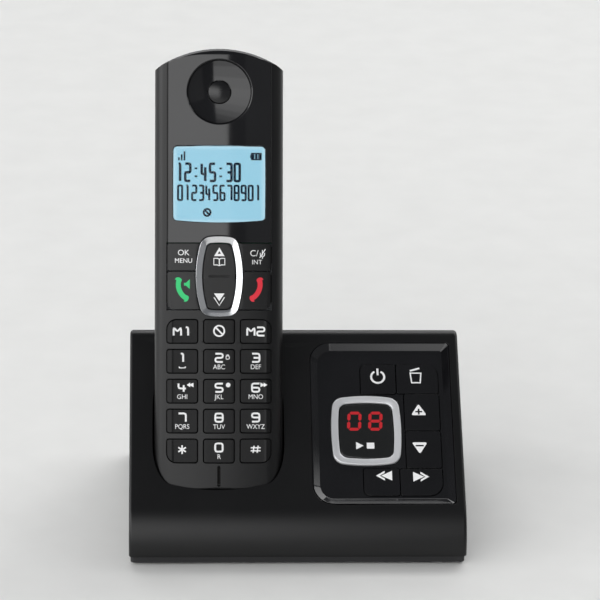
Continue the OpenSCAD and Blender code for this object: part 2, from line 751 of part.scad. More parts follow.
// Outer form of the base with softened side edges
module base_outer() {
    hull() {
        across(base_w - 2 * edge_soft) polygon(base_profile(0, plate_top));
        across(base_w - 0.6 * edge_soft) polygon(base_profile(0.3 * edge_soft, plate_top));
        across(base_w) polygon(base_profile(edge_soft, plate_top));
    }
}
module panel_outline(grow = 0) {
    r = panel_corner + grow;
    s = 1.6 + max(grow, -1.2);
    translate([panel_w / 2, panel_l / 2])
        polygon(rounded(panel_w + 2 * grow, panel_l + 2 * grow, [r, s, s, r]));
}
module frame_outline(grow = 0) {
    translate([frame_u, frame_t])
        polygon(cushion(frame_w + 2 * grow, frame_h + 2 * grow, frame_side_r + grow, frame_end_r + grow,
            frame_corner + grow));
}
module window_key_outline(grow = 0) {
    translate([frame_u, frame_t])
        polygon(cushion(frame_w - 2 * frame_band + 2 * grow, frame_h - 2 * frame_band + 2 * grow,
            frame_side_r + grow, frame_end_r + grow, window_corner + grow));
}
// Panel keys as [left, right, front, back] edges, in the order of PANEL_KEYS
PANEL_KEYS = ["key_power", "key_delete", "key_volume_up", "key_volume_down", "key_skip_back",
    "key_skip_forward"];
half_gap = panel_key_gap / 2;
panel_edges = [
    [block_l, block_split - half_gap, row_b, block_b],
    [block_split + half_gap, block_r, row_b + half_gap, block_b],
    [block_in, block_r, frame_t + half_gap, row_b - half_gap],
    [block_in, block_r, row_f + half_gap, frame_t - half_gap],
    [block_l, block_split - half_gap, block_f, row_f],
    [block_split + half_gap, block_r, block_f, row_f - half_gap]];
// Sides of each key that carry a retaining flange, in the same order
panel_flanges = [[1, 0, 1, 1], [0, 1, 0, 1], [1, 1, 0, 0], [1, 1, 0, 0], [1, 0, 1, 1], [0, 1, 1, 0]];
panel_radii = [[0.8, 0.8, 0.8, 2.5], [0.8, 0.8, 5, 0.8], [0.8, 0.8, 0.8, 0.8], [0.8, 0.8, 0.8, 0.8],
    [2.5, 0.8, 0.8, 0.8], [0.8, 5, 0.8, 0.8]];
module panel_key_outline(i, grow = 0) {
    e = panel_edges[i];
    translate([(e[0] + e[1]) / 2, (e[2] + e[3]) / 2])
        polygon(rounded(e[1] - e[0] + 2 * grow, e[3] - e[2] + 2 * grow,
            panel_radii[i] + [1, 1, 1, 1] * grow));
}

// Cradle: the handset's section with the gap round it, drawn up from the floor
module cradle(grow, below) {
    in_handset() translate([0, 0, -floor_gap - below]) linear_extrude(handset_l)
        polygon(section(-cradle_gap - grow));
}

// Moulded top of the base: rolled front, deck with the cradle, crest, rear slope and rear wall
module base_top_cover() {
    color("#1b1b1d") difference() {
        base_outer();
        difference() {
            across(base_w - 2 * base_wall) polygon(base_profile(base_wall, plate_top - 1));
            cradle(tub_wall, tub_wall);
            for (x = [-boss_x, boss_x]) {
                translate([x, boss_f, 0]) cylinder(r = boss_r, h = 12);
                translate([x, boss_b, 0]) cylinder(r = boss_r, h = 18);
            }
        }
        cradle(0, 0);
        in_panel() slab(-base_wall - 0.6, 2) panel_outline();
        for (x = [line_x, power_x])
            box(x - 5.4, x + 5.4, base_d / 2 - base_wall - 1, base_d / 2 + 1, jack_z + 1.6, jack_z + 10.4);
        for (x = [-boss_x, boss_x], y = [boss_f, boss_b])
            translate([x, y, plate_top - 1]) cylinder(r = 1.25, h = 8);
        in_handset() for (s = [-1, 1])
            translate([s * pad_x, pad_y, -floor_gap - tub_wall - 1]) cylinder(r = 1.5, h = tub_wall + 2);
    }
}
// Flat bottom with the speaker slots, the screw seats and the rests for the board
module base_bottom_plate() {
    color("#202022") difference() {
        union() {
            slab(foot_h, plate_top) translate([0, 0.2])
                polygon(rounded(base_w - 1.2, base_d - 1.6, [1, 1, 1, 1] * 1.5));
            for (x = [board_x0 + post_in, board_x1 - post_in], y = [board_y0 + post_in, board_y1 - post_in])
                translate([x, y, plate_top - 0.2]) cylinder(r = post_r, h = post_h + 0.2);
            translate([speaker_x, speaker_y, plate_top - 0.2]) difference() {
                cylinder(r = speaker_r + speaker_wall, h = 4.2);
                translate([0, 0, -1]) cylinder(r = speaker_r + fit_gap, h = 6);
            }
        }
        for (i = [-3:3])
            translate([speaker_x, speaker_y + i * slot_pitch, 0]) slab(0, plate_top + 1)
                polygon(rounded(slot_l - abs(i) * 4, slot_w, [1, 1, 1, 1] * 0.7));
        for (x = [-boss_x, boss_x], y = [boss_f, boss_b]) translate([x, y, 0]) {
            cylinder(r = 1.5, h = plate_top + 1);
            cylinder(r = 3.2, h = foot_h + 1.3);
        }
        for (x = [-foot_x, foot_x], y = [foot_f, foot_b])
            translate([x, y, 0]) cylinder(r = foot_r + fit_gap, h = foot_h + 0.6);
    }
}
// Gloss tray let into the deck from below, with sloping walls
module control_panel() {
    color("#0c0c0e") in_panel() difference() {
        union() {
            slab(-panel_under, 0) panel_outline(-fit_gap);
            slab(-panel_under, -base_wall - joint_gap) panel_outline(panel_flange);
            for (x = [5.5, panel_w - 1.6], y = [6, panel_l - 4.6])
                translate([x, y, -panel_board_w]) cylinder(r = 1.3, h = panel_board_w - panel_under + 0.5);
        }
        hull() {
            slab(0, 1) panel_outline(-fit_gap - 0.3);
            slab(-panel_depth, 1) panel_outline(-panel_slope);
        }
        slab(-panel_under - 1, 0) {
            for (i = [0:5]) panel_key_outline(i, panel_key_gap);
            window_key_outline();
        }
    }
}
// Bright bevelled frame of the message display
module display_frame() {
    color("#c9ccd0") in_panel() difference() {
        hull() {
            slab(-panel_depth, -panel_depth + frame_rise / 3) frame_outline();
            slab(-panel_depth, -panel_depth + frame_rise) frame_outline(-0.7);
        }
        hull() {
            slab(-panel_depth - 1, -panel_depth + frame_rise / 3) window_key_outline();
            slab(-panel_depth - 1, -panel_depth + frame_rise + 0.1) window_key_outline(0.8);
        }
    }
}
// Dark window key inside the frame: the counter shines through it and it starts and stops play
module play_stop_key() {
    color("#101012") in_panel() union() {
        slab(-panel_key_under, -panel_depth + 0.4) window_key_outline(-panel_key_gap);
        slab(-panel_key_under, -panel_key_under + flange_t) window_key_outline(flange_w);
    }
}
module panel_key(i) {
    e = panel_edges[i];
    f = panel_flanges[i] * flange_w;
    color("#111113") in_panel() union() {
        slab(-panel_key_under, -panel_depth + 0.25) panel_key_outline(i);
        box(e[0] + 1 - f[0] - panel_flanges[i][0], e[1] - 1 + f[1] + panel_flanges[i][1],
            e[2] + 1 - f[2] - panel_flanges[i][2], e[3] - 1 + f[3] + panel_flanges[i][3],
            -panel_key_under, -panel_key_under + flange_t);
    }
}
module led_display() {
    color("#5c1414") in_panel() box(frame_u - led_w / 2, frame_u + led_w / 2,
        frame_t - led_l / 2, frame_t + led_l / 2, -panel_board_w, -switch_top);
}
// Silicone strip with a raised pad under every panel key
module base_key_mat() {
    color("#8f9296") in_panel() union() {
        slab(-panel_board_w, -panel_board_w + 0.9) {
            translate([block_l, block_f]) square([block_r - block_l, row_f - block_f]);
            translate([block_in, block_f]) square([block_r - block_in, block_b - block_f]);
            translate([block_l, row_b]) square([block_r - block_l, block_b - row_b]);
        }
        for (e = panel_edges)
            translate([(e[0] + e[1]) / 2, (e[2] + e[3]) / 2, -panel_board_w])
                cylinder(r = 2.4, h = panel_board_w - switch_top);
    }
}
module panel_board() {
    color("#1f5a3a") in_panel()
        box(3, panel_w - 0.2, 3.4, panel_l - 2.6, -panel_board_w - pcb_t, -panel_board_w);
}
module base_board() {
    color("#1f5a3a") union() {
        box(board_x0, board_x1, board_y0, board_y1, board_z, board_z + pcb_t);
        translate([(board_x0 + board_x1 - chip_w) / 2, board_y1 - 3 * chip_w, board_z + pcb_t - 0.1])
            cube([chip_w, chip_w, chip_t + 0.1]);
        for (x = [board_x0 + 2 * can_r, board_x1 - 2 * can_r])
            translate([x, board_y1 - 3 * chip_w + can_r, board_z]) cylinder(r = can_r, h = pcb_t + can_h);
    }
}
module base_speaker() {
    color("#3a3a3d") translate([speaker_x, speaker_y, plate_top]) union() {
        cylinder(r = speaker_r, h = speaker_rim);
        translate([0, 0, speaker_rim]) cylinder(r1 = speaker_r - 1, r2 = magnet_r, h = cone_h);
        translate([0, 0, speaker_rim + cone_h]) cylinder(r = magnet_r, h = magnet_h);
    }
}
// Modular socket on the board, open to the rear, with its latch notch
module jack(x) {
    color("#2b2b2e") difference() {
        box(x - jack_w / 2, x + jack_w / 2, jack_back - jack_l, jack_back, jack_z, jack_z + jack_h);
        box(x - 4.9, x + 4.9, jack_back - 12.5, jack_back + 1, jack_z + 2.4, jack_z + 9.4);
        box(x - 1.7, x + 1.7, jack_back - 12.5, jack_back + 1, jack_z + 1, jack_z + 2.6);
    }
}
// Sprung pin that rises through the cradle floor to a contact on the handset's foot
module charge_contact(side) {
    color("#d6b66a") in_handset() translate([side * pad_x, pad_y, 0]) union() {
        translate([0, 0, -7]) cylinder(r = 1.2, h = 6.4 + pad_z);
        translate([0, 0, pad_z - 0.9]) intersection() {
            cylinder(r = 1.2, h = 0.8);
            translate([0, 0, -1.1]) sphere(r = 1.85, $fn = 48);
        }
        translate([0, 0, -floor_gap - tub_wall - 1.1]) cylinder(r = 2.2, h = 1);
    }
}
module rubber_feet() {
    color("#2a2a2a") for (x = [-foot_x, foot_x], y = [foot_f, foot_b])
        translate([x, y, 0]) cylinder(r = foot_r, h = foot_h + 0.5);
}
module base_screws() {
    color("#8d8f93") for (x = [-boss_x, boss_x], y = [boss_f, boss_b]) translate([x, y, foot_h + 1.3]) {
        translate([0, 0, -1.2]) cylinder(r = 2.8, h = 1.2);
        cylinder(r = 1.15, h = plate_t + 4.5);
    }
}

// Keypad keys as [name, column, row]
KEYPAD = [["key_m1", 0, 4], ["key_block", 1, 4], ["key_m2", 2, 4],
    ["key_1", 0, 3], ["key_2", 1, 3], ["key_3", 2, 3],
    ["key_4", 0, 2], ["key_5", 1, 2], ["key_6", 2, 2],
    ["key_7", 0, 1], ["key_8", 1, 1], ["key_9", 2, 1],
    ["key_star", 0, 0], ["key_0", 1, 0], ["key_hash", 2, 0]];

base_top_cover();
base_bottom_plate();
rubber_feet();
base_screws();
base_board();
jack(line_x);  // line_jack
jack(power_x);  // power_jack
base_speaker();
control_panel();
panel_board();
led_display();
base_key_mat();
display_frame();
play_stop_key();
charge_contact(-1);  // charge_contact_left
charge_contact(1);  // charge_contact_right
for (i = [0:5]) panel_key(i);
handset_front_cover();
handset_rear_cover();
faceplate();
earpiece_grille();
display_lens();
lcd_panel();
lcd_backlight();
receiver_capsule();
nav_ring();
handset_keypad_mat();
handset_board();
microphone();
battery_cells();
battery_contacts();
handset_charge_contacts();
handsfree_speaker();
handset_screws();
nav_key();
function_key(-1, fn_z0 + call_h + key_gap, fn_z1, 0.8);  // key_ok
function_key(1, fn_z0 + call_h + key_gap, fn_z1, 0.8);  // key_cancel
function_key(-1, fn_z0, fn_z0 + call_h, 2.4);  // key_talk
function_key(1, fn_z0, fn_z0 + call_h, 2.4);  // key_end
battery_door();
for (k = KEYPAD) keypad_key(k[1], k[2]);
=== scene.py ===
import json
import math

import bpy
from mathutils import Matrix, Quaternion, Vector


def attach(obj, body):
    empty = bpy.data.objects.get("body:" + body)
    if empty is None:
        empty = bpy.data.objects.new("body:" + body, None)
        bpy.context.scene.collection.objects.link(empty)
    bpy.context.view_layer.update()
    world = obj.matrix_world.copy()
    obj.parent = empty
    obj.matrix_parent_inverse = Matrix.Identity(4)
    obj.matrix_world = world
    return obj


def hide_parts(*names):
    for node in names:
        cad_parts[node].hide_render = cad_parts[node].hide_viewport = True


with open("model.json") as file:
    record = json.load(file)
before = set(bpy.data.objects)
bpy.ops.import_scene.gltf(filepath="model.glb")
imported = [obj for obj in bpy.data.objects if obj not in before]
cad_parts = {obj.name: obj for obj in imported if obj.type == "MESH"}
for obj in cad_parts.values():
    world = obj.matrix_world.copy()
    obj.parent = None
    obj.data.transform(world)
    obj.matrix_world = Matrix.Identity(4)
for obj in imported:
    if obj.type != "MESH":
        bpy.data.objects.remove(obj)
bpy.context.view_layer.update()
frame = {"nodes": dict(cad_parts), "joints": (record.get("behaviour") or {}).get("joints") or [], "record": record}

# Camera
# A long lens a metre off and some twenty degrees above the table, a little left of the phone and held with a
# slight roll, so that the handset stands upright in the picture.
mm = 0.001
camera_place = Vector((-50.6, -949.7, 472.5)) * mm
camera_aim = Vector((0.6, -10.0, 89.0)) * mm
camera_roll = Quaternion((0, 0, 1), math.radians(1.28))
bpy.ops.object.select_all(action="DESELECT")
bpy.ops.object.camera_add(location=camera_place)
camera = bpy.context.object
camera_turn = (camera_aim - camera_place).to_track_quat("-Z", "Y") @ camera_roll
camera.rotation_euler = camera_turn.to_euler()
camera.data.lens = 167.3
camera.data.sensor_width = 36.0
bpy.context.scene.camera = camera

# Bottom plate, feet and screws of the base
# The plate is a flat ABS moulding with a matt spark-eroded skin, screwed up into the cover from below.
# The feet are rubber discs glued in their wells, and the screws are zinc-plated pan heads with cross slots.
record = frame["record"]
nodes = frame["nodes"]
body_of = {node: body for body, members in record["behaviour"]["bodies"].items() for node in members}


def tone(code):
    """Linear colour of a six-figure colour code."""
    parts = [int(code[i:i + 2], 16) / 255 for i in (0, 2, 4)]
    return tuple(c / 12.92 if c <= 0.04045 else ((c + 0.055) / 1.055) ** 2.4 for c in parts)


def node_of(tree, kind, inputs=None, **settings):
    """A new shader node with its settings, and its inputs set or linked."""
    made = tree.nodes.new("ShaderNode" + kind)
    for key, value in settings.items():
        setattr(made, key, value)
    for label, value in (inputs or {}).items():
        if isinstance(value, bpy.types.NodeSocket):
            tree.links.new(value, made.inputs[label])
        else:
            made.inputs[label].default_value = value
    return made


def reckon(tree, operation, *values):
    """The result of one step of arithmetic in a shader tree."""
    return node_of(tree, "Math", dict(enumerate(values)), operation=operation).outputs[0]


# The skin of a moulding: a fine grain, and a slow drift of tone and gloss from one place to another.
skin = bpy.data.node_groups.new("moulded_skin", "ShaderNodeTree")
for label, kind in (("Colour", "Color"), ("Drift", "Float"), ("Roughness", "Float"), ("Grain", "Float")):
    skin.interface.new_socket(label, in_out="INPUT", socket_type="NodeSocket" + kind)
for label, kind in (("Colour", "Color"), ("Roughness", "Float"), ("Height", "Float")):
    skin.interface.new_socket(label, in_out="OUTPUT", socket_type="NodeSocket" + kind)
skin_in = skin.nodes.new("NodeGroupInput").outputs
skin_out = skin.nodes.new("NodeGroupOutput").inputs
skin_place = node_of(skin, "TexCoord").outputs["Object"]
broad = node_of(skin, "TexNoise", {"Vector": skin_place, "Scale": 45.0, "Detail": 3.0}).outputs["Fac"]
fine = node_of(skin, "TexNoise", {"Vector": skin_place, "Scale": skin_in["Grain"],
                                  "Detail": 2.0}).outputs["Fac"]
least = reckon(skin, "SUBTRACT", 1.0, skin_in["Drift"])
most = reckon(skin, "ADD", 1.0, skin_in["Drift"])
drift = node_of(skin, "MapRange", {"Value": broad, "From Min": 0.3, "From Max": 0.7, "To Min": least,
                                   "To Max": most}).outputs["Result"]
toned = node_of(skin, "HueSaturation", {"Color": skin_in["Colour"], "Value": drift}).outputs["Color"]
rough = reckon(skin, "MULTIPLY", skin_in["Roughness"], drift)
skin.links.new(toned, skin_out["Colour"])
skin.links.new(rough, skin_out["Roughness"])
skin.links.new(fine, skin_out["Height"])


def finish(name, colour, roughness, drift=0.1, grain=0.3, relief=0.004, sockets=None):
    """Material with the moulded skin; grain and relief are the grain's width and depth in millimetres."""
    material = bpy.data.materials.new(name)
    material.use_nodes = True
    tree = material.node_tree
    shader = tree.nodes["Principled BSDF"]
    group = tree.nodes.new("ShaderNodeGroup")
    group.node_tree = skin
    group.inputs["Colour"].default_value = (*colour, 1.0)
    group.inputs["Drift"].default_value = drift
    group.inputs["Roughness"].default_value = roughness
    group.inputs["Grain"].default_value = 1 / (grain * mm)
    bump = node_of(tree, "Bump", {"Height": group.outputs["Height"], "Distance": relief * mm,
                                  "Strength": 1.0})
    tree.links.new(group.outputs["Colour"], shader.inputs["Base Color"])
    tree.links.new(group.outputs["Roughness"], shader.inputs["Roughness"])
    tree.links.new(bump.outputs["Normal"], shader.inputs["Normal"])
    for label, value in (sockets or {}).items():
        shader.inputs[label].default_value = value
    return material


def paint(piece, material):
    """Gives a piece one finish all over."""
    piece.data.materials.clear()
    piece.data.materials.append(material)


def pick(piece):
    """Makes one piece the only selected and active one."""
    bpy.ops.object.select_all(action="DESELECT")
    piece.select_set(True)
    bpy.context.view_layer.objects.active = piece


def shape(piece, kind, **settings):
    """Adds a modifier to a piece and applies it."""
    pick(piece)
    modifier = piece.modifiers.new(kind, kind)
    for key, value in settings.items():
        setattr(modifier, key, value)
    bpy.ops.object.modifier_apply(modifier=modifier.name)


def settle(piece, node, material):
    """The piece stands for a CAD node: it takes its finish and rides on the node's body, and the node is hidden.
    """
    paint(piece, material)
    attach(piece, body_of[node])
    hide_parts(node)


def moulded(node, material, edge=0.0, crease=30, steps=2):
    """Stands a smooth merged copy of a CAD node in its place; edge is the rounding in millimetres, if any."""
    piece = bpy.data.objects.new(node + "_skin", nodes[node].data.copy())
    bpy.context.scene.collection.objects.link(piece)
    pick(piece)
    bpy.ops.mesh.customdata_custom_splitnormals_clear()
    bpy.ops.object.mode_set(mode="EDIT")
    bpy.ops.mesh.select_all(action="SELECT")
    bpy.ops.mesh.remove_doubles(threshold=0.002 * mm)
    bpy.ops.mesh.dissolve_limited(angle_limit=math.radians(0.3))
    bpy.ops.mesh.vert_connect_concave()
    bpy.ops.object.mode_set(mode="OBJECT")
    if edge:
        shape(piece, "BEVEL", width=edge * mm, segments=steps, limit_method="ANGLE",
              angle_limit=math.radians(crease), use_clamp_overlap=False)
    bpy.ops.object.shade_smooth_by_angle(angle=math.radians(crease))
    shape(piece, "WEIGHTED_NORMAL", keep_sharp=True)
    settle(piece, node, material)
    return piece


plate_black = finish("plate_black", tone("1c1c1e"), 0.55, grain=0.5, relief=0.012)
rubber = finish("foot_rubber", tone("242425"), 0.8, grain=0.4, relief=0.02)
zinc = finish("zinc_plating", tone("9a9c9f"), 0.32, drift=0.2, sockets={"Metallic": 1.0})
moulded("base_bottom_plate", plate_black)
moulded("rubber_feet", rubber, edge=0.3)
moulded("base_screws", zinc, edge=0.2)

# Works inside the base
# Two green fibreglass boards with soldered sockets, a paper-cone speaker over the slots in the plate, a red
# counter under the window key and a grey silicone switch mat. All of them clip or screw to the mouldings.
board_green = finish("board_green", tone("1d5a38"), 0.4, drift=0.35, grain=1.2, relief=0.03)
socket_black = finish("socket_black", tone("1f1f21"), 0.45)
speaker_dark = finish("speaker_paper", tone("2b2a29"), 0.85, drift=0.3, grain=0.6, relief=0.05)
counter_red = finish("counter_red", tone("4a1414"), 0.35)
silicone = finish("silicone_grey", tone("8d9094"), 0.6, grain=0.6)
for node in ("base_board", "panel_board"):
    paint(nodes[node], board_green)
for node in ("line_jack", "power_jack"):
    moulded(node, socket_black, edge=0.2)
paint(nodes["base_speaker"], speaker_dark)
paint(nodes["led_display"], counter_red)
paint(nodes["base_key_mat"], silicone)

# Base cover
# One deep ABS moulding: rolled front, sloping deck with the cradle tub, crest and rear slope. It leaves the
# tool with a fine satin skin and soft edges, and the screws of the bottom plate hold it.
housing_black = finish("housing_black", tone("0a0a0b"), 0.34, drift=0.06, grain=0.35, relief=0.005,
                       sockets={"Specular IOR Level": 0.37})
moulded("base_top_cover", housing_black, edge=0.35)

# Charging pins
# Two turned brass pins with a gold flash and a domed tip. Springs under them press them up through the floor
# of the cradle.
gold_flash = finish("gold_flash", tone("d9b45c"), 0.22, drift=0.15, sockets={"Metallic": 1.0})
for side in ("left", "right"):
    moulded("charge_contact_" + side, gold_flash, edge=0.08)

# Control panel
# A tray of black ABS with a polished piano finish, let into the deck from below with sloping walls all round.
# Its floor is pierced for the keys and for the window key of the message counter.
press = Vector(next(j["axis"] for j in frame["joints"] if j["name"] == "play_stop_key_press"))
deck_turn = Matrix.Rotation(math.atan2(press.y, -press.z), 4, "X")


def points_in(node, turn):
    """The points of a CAD node along turned axes."""
    back = turn.inverted()
    return [back @ v.co for v in nodes[node].data.vertices]


def box_in(node, turn):
    """Lowest and highest corner of a CAD node along turned axes, and the middle between them."""
    places = points_in(node, turn)
    low = Vector([min(p[i] for p in places) for i in range(3)])
    high = Vector([max(p[i] for p in places) for i in range(3)])
    return low, high, (low + high) / 2


def arc(centre, radius, start, end, steps=24):
    """Points of an arc in order, both ends included; angles in radians."""
    turns = [start + (end - start) * i / steps for i in range(steps + 1)]
    return [(centre[0] + radius * math.cos(a), centre[1] + radius * math.sin(a)) for a in turns]


def rounded(left, right, front, back, radii):
    """Outline of a rectangle with a radius for each corner, front left first and then round to the right."""
    r0, r1, r2, r3 = radii
    turn = math.pi / 2
    corners = ((right - r1, front + r1, r1), (right - r2, back - r2, r2),
               (left + r3, back - r3, r3), (left + r0, front + r0, r0))
    points = []
    for i, (x, y, radius) in enumerate(corners):
        points += arc((x, y), radius, (i - 1) * turn, i * turn, 16)
    return points


def cushion(w, h, side_r, end_r, corner):
    """Outline of a rectangle with bowed sides, bowed ends and round corners, about its middle."""
    side = Vector((w / 2 - side_r, 0))
    end = Vector((0, h / 2 - end_r))
    apart = (end - side).length
    along = (end - side) / apart
    reach = ((side_r - corner) ** 2 - (end_r - corner) ** 2 + apart ** 2) / (2 * apart)
    rise = math.sqrt((side_r - corner) ** 2 - reach ** 2)
    at = side + along * reach + Vector((-along.y, along.x)) * rise
    a = math.atan2(at.y - side.y, at.x - side.x)
    b = math.atan2(at.y - end.y, at.x - end.x)
    quarter = arc(side, side_r, 0, a, 12)[:-1] + arc(at, corner, a, b, 16)[:-1]
    quarter += arc(end, end_r, b, math.pi / 2, 12)
    half = quarter + [(-x, y) for x, y in reversed(quarter[:-1])]
    return half + [(-x, -y) for x, y in half[1:-1]]


def loft(name, rings):
    """Skin through closed rings of equal count, capped at open ends; a last ring like the first closes it."""
    count, steps = len(rings[0]), len(rings) - 1
    bpy.ops.object.select_all(action="DESELECT")
    bpy.ops.mesh.primitive_grid_add(x_subdivisions=count, y_subdivisions=steps, size=2)
    made = bpy.context.object
    made.name = name
    for v in made.data.vertices:
        v.co = rings[round((v.co.y + 1) / 2 * steps)][round((v.co.x + 1) / 2 * count) % count]
    bpy.ops.object.mode_set(mode="EDIT")
    bpy.ops.mesh.select_all(action="SELECT")
    bpy.ops.mesh.remove_doubles(threshold=0.0005 * mm)
    bpy.ops.mesh.fill_holes(sides=0)
    bpy.ops.mesh.select_all(action="SELECT")
    bpy.ops.mesh.normals_make_consistent(inside=False)
    bpy.ops.object.mode_set(mode="OBJECT")
    return made


def cut(piece, tool, operation="DIFFERENCE"):
    """Cuts a piece with a tool, or joins them, and the tool is gone."""
    shape(piece, "BOOLEAN", operation=operation, object=tool, solver="EXACT")
    bpy.data.objects.remove(tool)


tray_low, tray_high, _ = box_in("control_panel", deck_turn)
tray_t = 3.5 * mm
tray_through = -tray_t - 1 * mm
tray_flange, flange_top = 1.2 * mm, -2.3 * mm
tray_corner, tray_small = 8.0 * mm, 1.6 * mm
key_play = 0.3 * mm
deck_top = tray_high.z


def tray_outline(grow):
    """Outline of the tray, grown all round: large corners on the left, small ones on the right."""
    big, small = tray_corner + grow, max(tray_small + grow, 0.4 * mm)
    inset = tray_flange - grow
    return rounded(tray_low.x + inset, tray_high.x - inset, tray_low.y + inset, tray_high.y - inset,
                   (big, small, small, big))


def on_deck(outline, z):
    """An outline laid parallel to the deck at a height off it."""
    return [deck_turn @ Vector((x, y, deck_top + z)) for x, y in outline]


def deck_slab(name, outline, low, high):
    """A slab of an outline between two heights off the deck."""
    return loft(name, [on_deck(outline, low), on_deck(outline, high)])


# the body, the flange under the deck, and the tray with eased edges at its brim and round its floor
tray_brim = [(0.2, 0.5), (0.27, 0.0), (0.36, -0.03), (0.5, -0.1), (2.75, -1.56), (2.95, -1.66), (3.15, -1.7)]
control_panel = deck_slab("control_panel_skin", tray_outline(-0.2 * mm), -tray_t, 0)
cut(control_panel, deck_slab("flange", tray_outline(tray_flange), -tray_t, flange_top), "UNION")
cut(control_panel, loft("tray", [on_deck(tray_outline(-inset * mm), z * mm) for inset, z in tray_brim]))


def key_hole(node, radii):
    """Cuts the opening of a panel key: the outline of the key's top with some play round it."""
    places = points_in(node, deck_turn)
    top_z = max(p.z for p in places) - 0.01 * mm
    top = [p for p in places if p.z > top_z]
    sides = [min(p.x for p in top) - key_play, max(p.x for p in top) + key_play,
             min(p.y for p in top) - key_play, max(p.y for p in top) + key_play]
    outline = rounded(*sides, [r * mm + key_play for r in radii])
    cut(control_panel, deck_slab("hole", outline, tray_through, 0))


panel_corners = {
    "key_power": (0.8, 0.8, 0.8, 2.5),
    "key_delete": (0.8, 0.8, 5, 0.8),
    "key_volume_up": (0.8, 0.8, 0.8, 0.8),
    "key_volume_down": (0.8, 0.8, 0.8, 0.8),
    "key_skip_back": (2.5, 0.8, 0.8, 0.8),
    "key_skip_forward": (0.8, 5, 0.8, 0.8),
}
for node, radii in panel_corners.items():
    key_hole(node, radii)
frame_low, frame_high, frame_mid = box_in("display_frame", deck_turn)
frame_w, frame_h, _ = frame_high - frame_low
frame_band = 2.7 * mm
frame_side, frame_end, frame_corner, window_corner = 90 * mm, 60 * mm, 4.4 * mm, 3.0 * mm


def frame_outline(inset):
    """Outline of the frame so far in from its outer edge; its corners tighten towards the window key."""
    corner = frame_corner + (window_corner - frame_corner) * inset / frame_band
    outline = cushion(frame_w - 2 * inset, frame_h - 2 * inset, frame_side, frame_end, corner)
    return [(frame_mid.x + x, frame_mid.y + y) for x, y in outline]


cut(control_panel, deck_slab("window", frame_outline(frame_band), tray_through, 0))
pick(control_panel)
bpy.ops.object.shade_smooth_by_angle(angle=math.radians(25))
shape(control_panel, "WEIGHTED_NORMAL", keep_sharp=True)
panel_gloss = finish("panel_gloss", tone("121214"), 0.06, drift=0.25, grain=4.0, relief=0.0008)
settle(control_panel, "control_panel", panel_gloss)

# Frame of the message counter
# A die-cast trim round the window key: a bowed square that slopes gently inwards, plated in satin chrome.
# It is bonded to the floor of the tray.
satin_chrome = finish("satin_chrome", tone("d9dadc"), 0.34, drift=0.06, grain=0.5, relief=0.002,
                      sockets={"Metallic": 0.45})


def trim(node, rings, material):
    """A closed bright trim through rings of its section, in the place of a CAD node."""
    ring = loft(node + "_trim", rings + rings[:1])
    pick(ring)
    bpy.ops.object.shade_smooth_by_angle(angle=math.radians(40))
    shape(ring, "WEIGHTED_NORMAL", keep_sharp=True)
    settle(ring, node, material)


frame_section = [(0.0, 0.0), (0.0, 0.4), (0.06, 0.7), (0.2, 0.92), (0.45, 1.0), (1.2, 0.9), (2.3, 0.7),
                 (2.55, 0.6), (2.65, 0.45), (2.7, 0.0)]
frame_foot = frame_low.z - deck_top
frame_rings = [on_deck(frame_outline(inset * mm), frame_foot + z * mm) for inset, z in frame_section]
trim("display_frame", frame_rings, satin_chrome)

# Window key with the message counter
# A smoked polycarbonate key inside the frame. The two red figures of the counter shine through it, and the
# play and stop signs are printed in white.
legend_white = finish("legend_white", tone("f2f2f2"), 0.45, drift=0.03)
window_smoke = finish("window_smoke", tone("1c1d1d"), 0.12, drift=0.15, grain=3.0, relief=0.0006)
print_t = 0.03          # thickness of printed marks, millimetres
capital_share = 0.72    # height of a capital letter for a type size of one


def path(lines, closed=True):
    """Flat curve along one or more lines of points."""
    curve = bpy.data.curves.new("mark", "CURVE")
    curve.dimensions = "2D"
    for points in lines:
        spline = curve.splines.new("POLY")
        spline.points.add(len(points) - 1)
        for knot, (x, y) in zip(spline.points, points):
            knot.co = (x, y, 0, 1)
        spline.use_cyclic_u = closed
    made = bpy.data.objects.new("mark", curve)
    bpy.context.scene.collection.objects.link(made)
    return made


def shapes(outlines):
    """Filled outlines in millimetres, as one thin mesh; an outline inside another is a hole."""
    made = path(outlines)
    made.data.fill_mode = "BOTH"
    made.data.extrude = print_t / 2
    pick(made)
    bpy.ops.object.convert(target="MESH")
    return bpy.context.object


def strokes(lines, width):
    """Lines in millimetres drawn with a flat round brush; a line that ends where it starts is closed."""
    parts = []
    for points in lines:
        closed = points[0] == points[-1]
        made = path([points[:-1] if closed else points], closed)
        made.data.dimensions = "3D"
        made.data.bevel_depth = width / 2
        made.data.bevel_resolution = 2
        made.data.use_fill_caps = True
        pick(made)
        bpy.ops.object.convert(target="MESH")
        parts.append(bpy.context.object)
        for v in parts[-1].data.vertices:
            v.co.z *= print_t / width
    return parts


def words(text, height, x=0, y=0, stretch=1.0):
    """Plain lettering of a capital height in millimetres about a point."""
    bpy.ops.object.select_all(action="DESELECT")
    bpy.ops.object.text_add()
    made = bpy.context.object
    made.data.body = text
    made.data.align_x = "CENTER"
    made.data.align_y = "CENTER"
    made.data.size = height / capital_share
    made.data.extrude = print_t / 2
    bpy.ops.object.convert(target="MESH")
    made = bpy.context.object
    for v in made.data.vertices:
        v.co.x = x + v.co.x * stretch
        v.co.y += y
    return made


def moved(points, x=0, y=0, scale=1.0, slant=0):
    """Points shifted, scaled and slanted."""
    return [(x + scale * (px + slant * py), y + scale * py) for px, py in points]


def printed(name, marks, material, body, place):
    """Joins flat marks into one print and lays it on a surface; place turns flat metres into the frame."""
    pick(marks[0])
    for mark in marks:
        mark.select_set(True)
    if len(marks) > 1:
        bpy.ops.object.join()
    piece = bpy.context.object
    piece.name = name
    for v in piece.data.vertices:
        v.co = place(*(v.co * mm))
    paint(piece, material)
    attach(piece, body)
    return piece


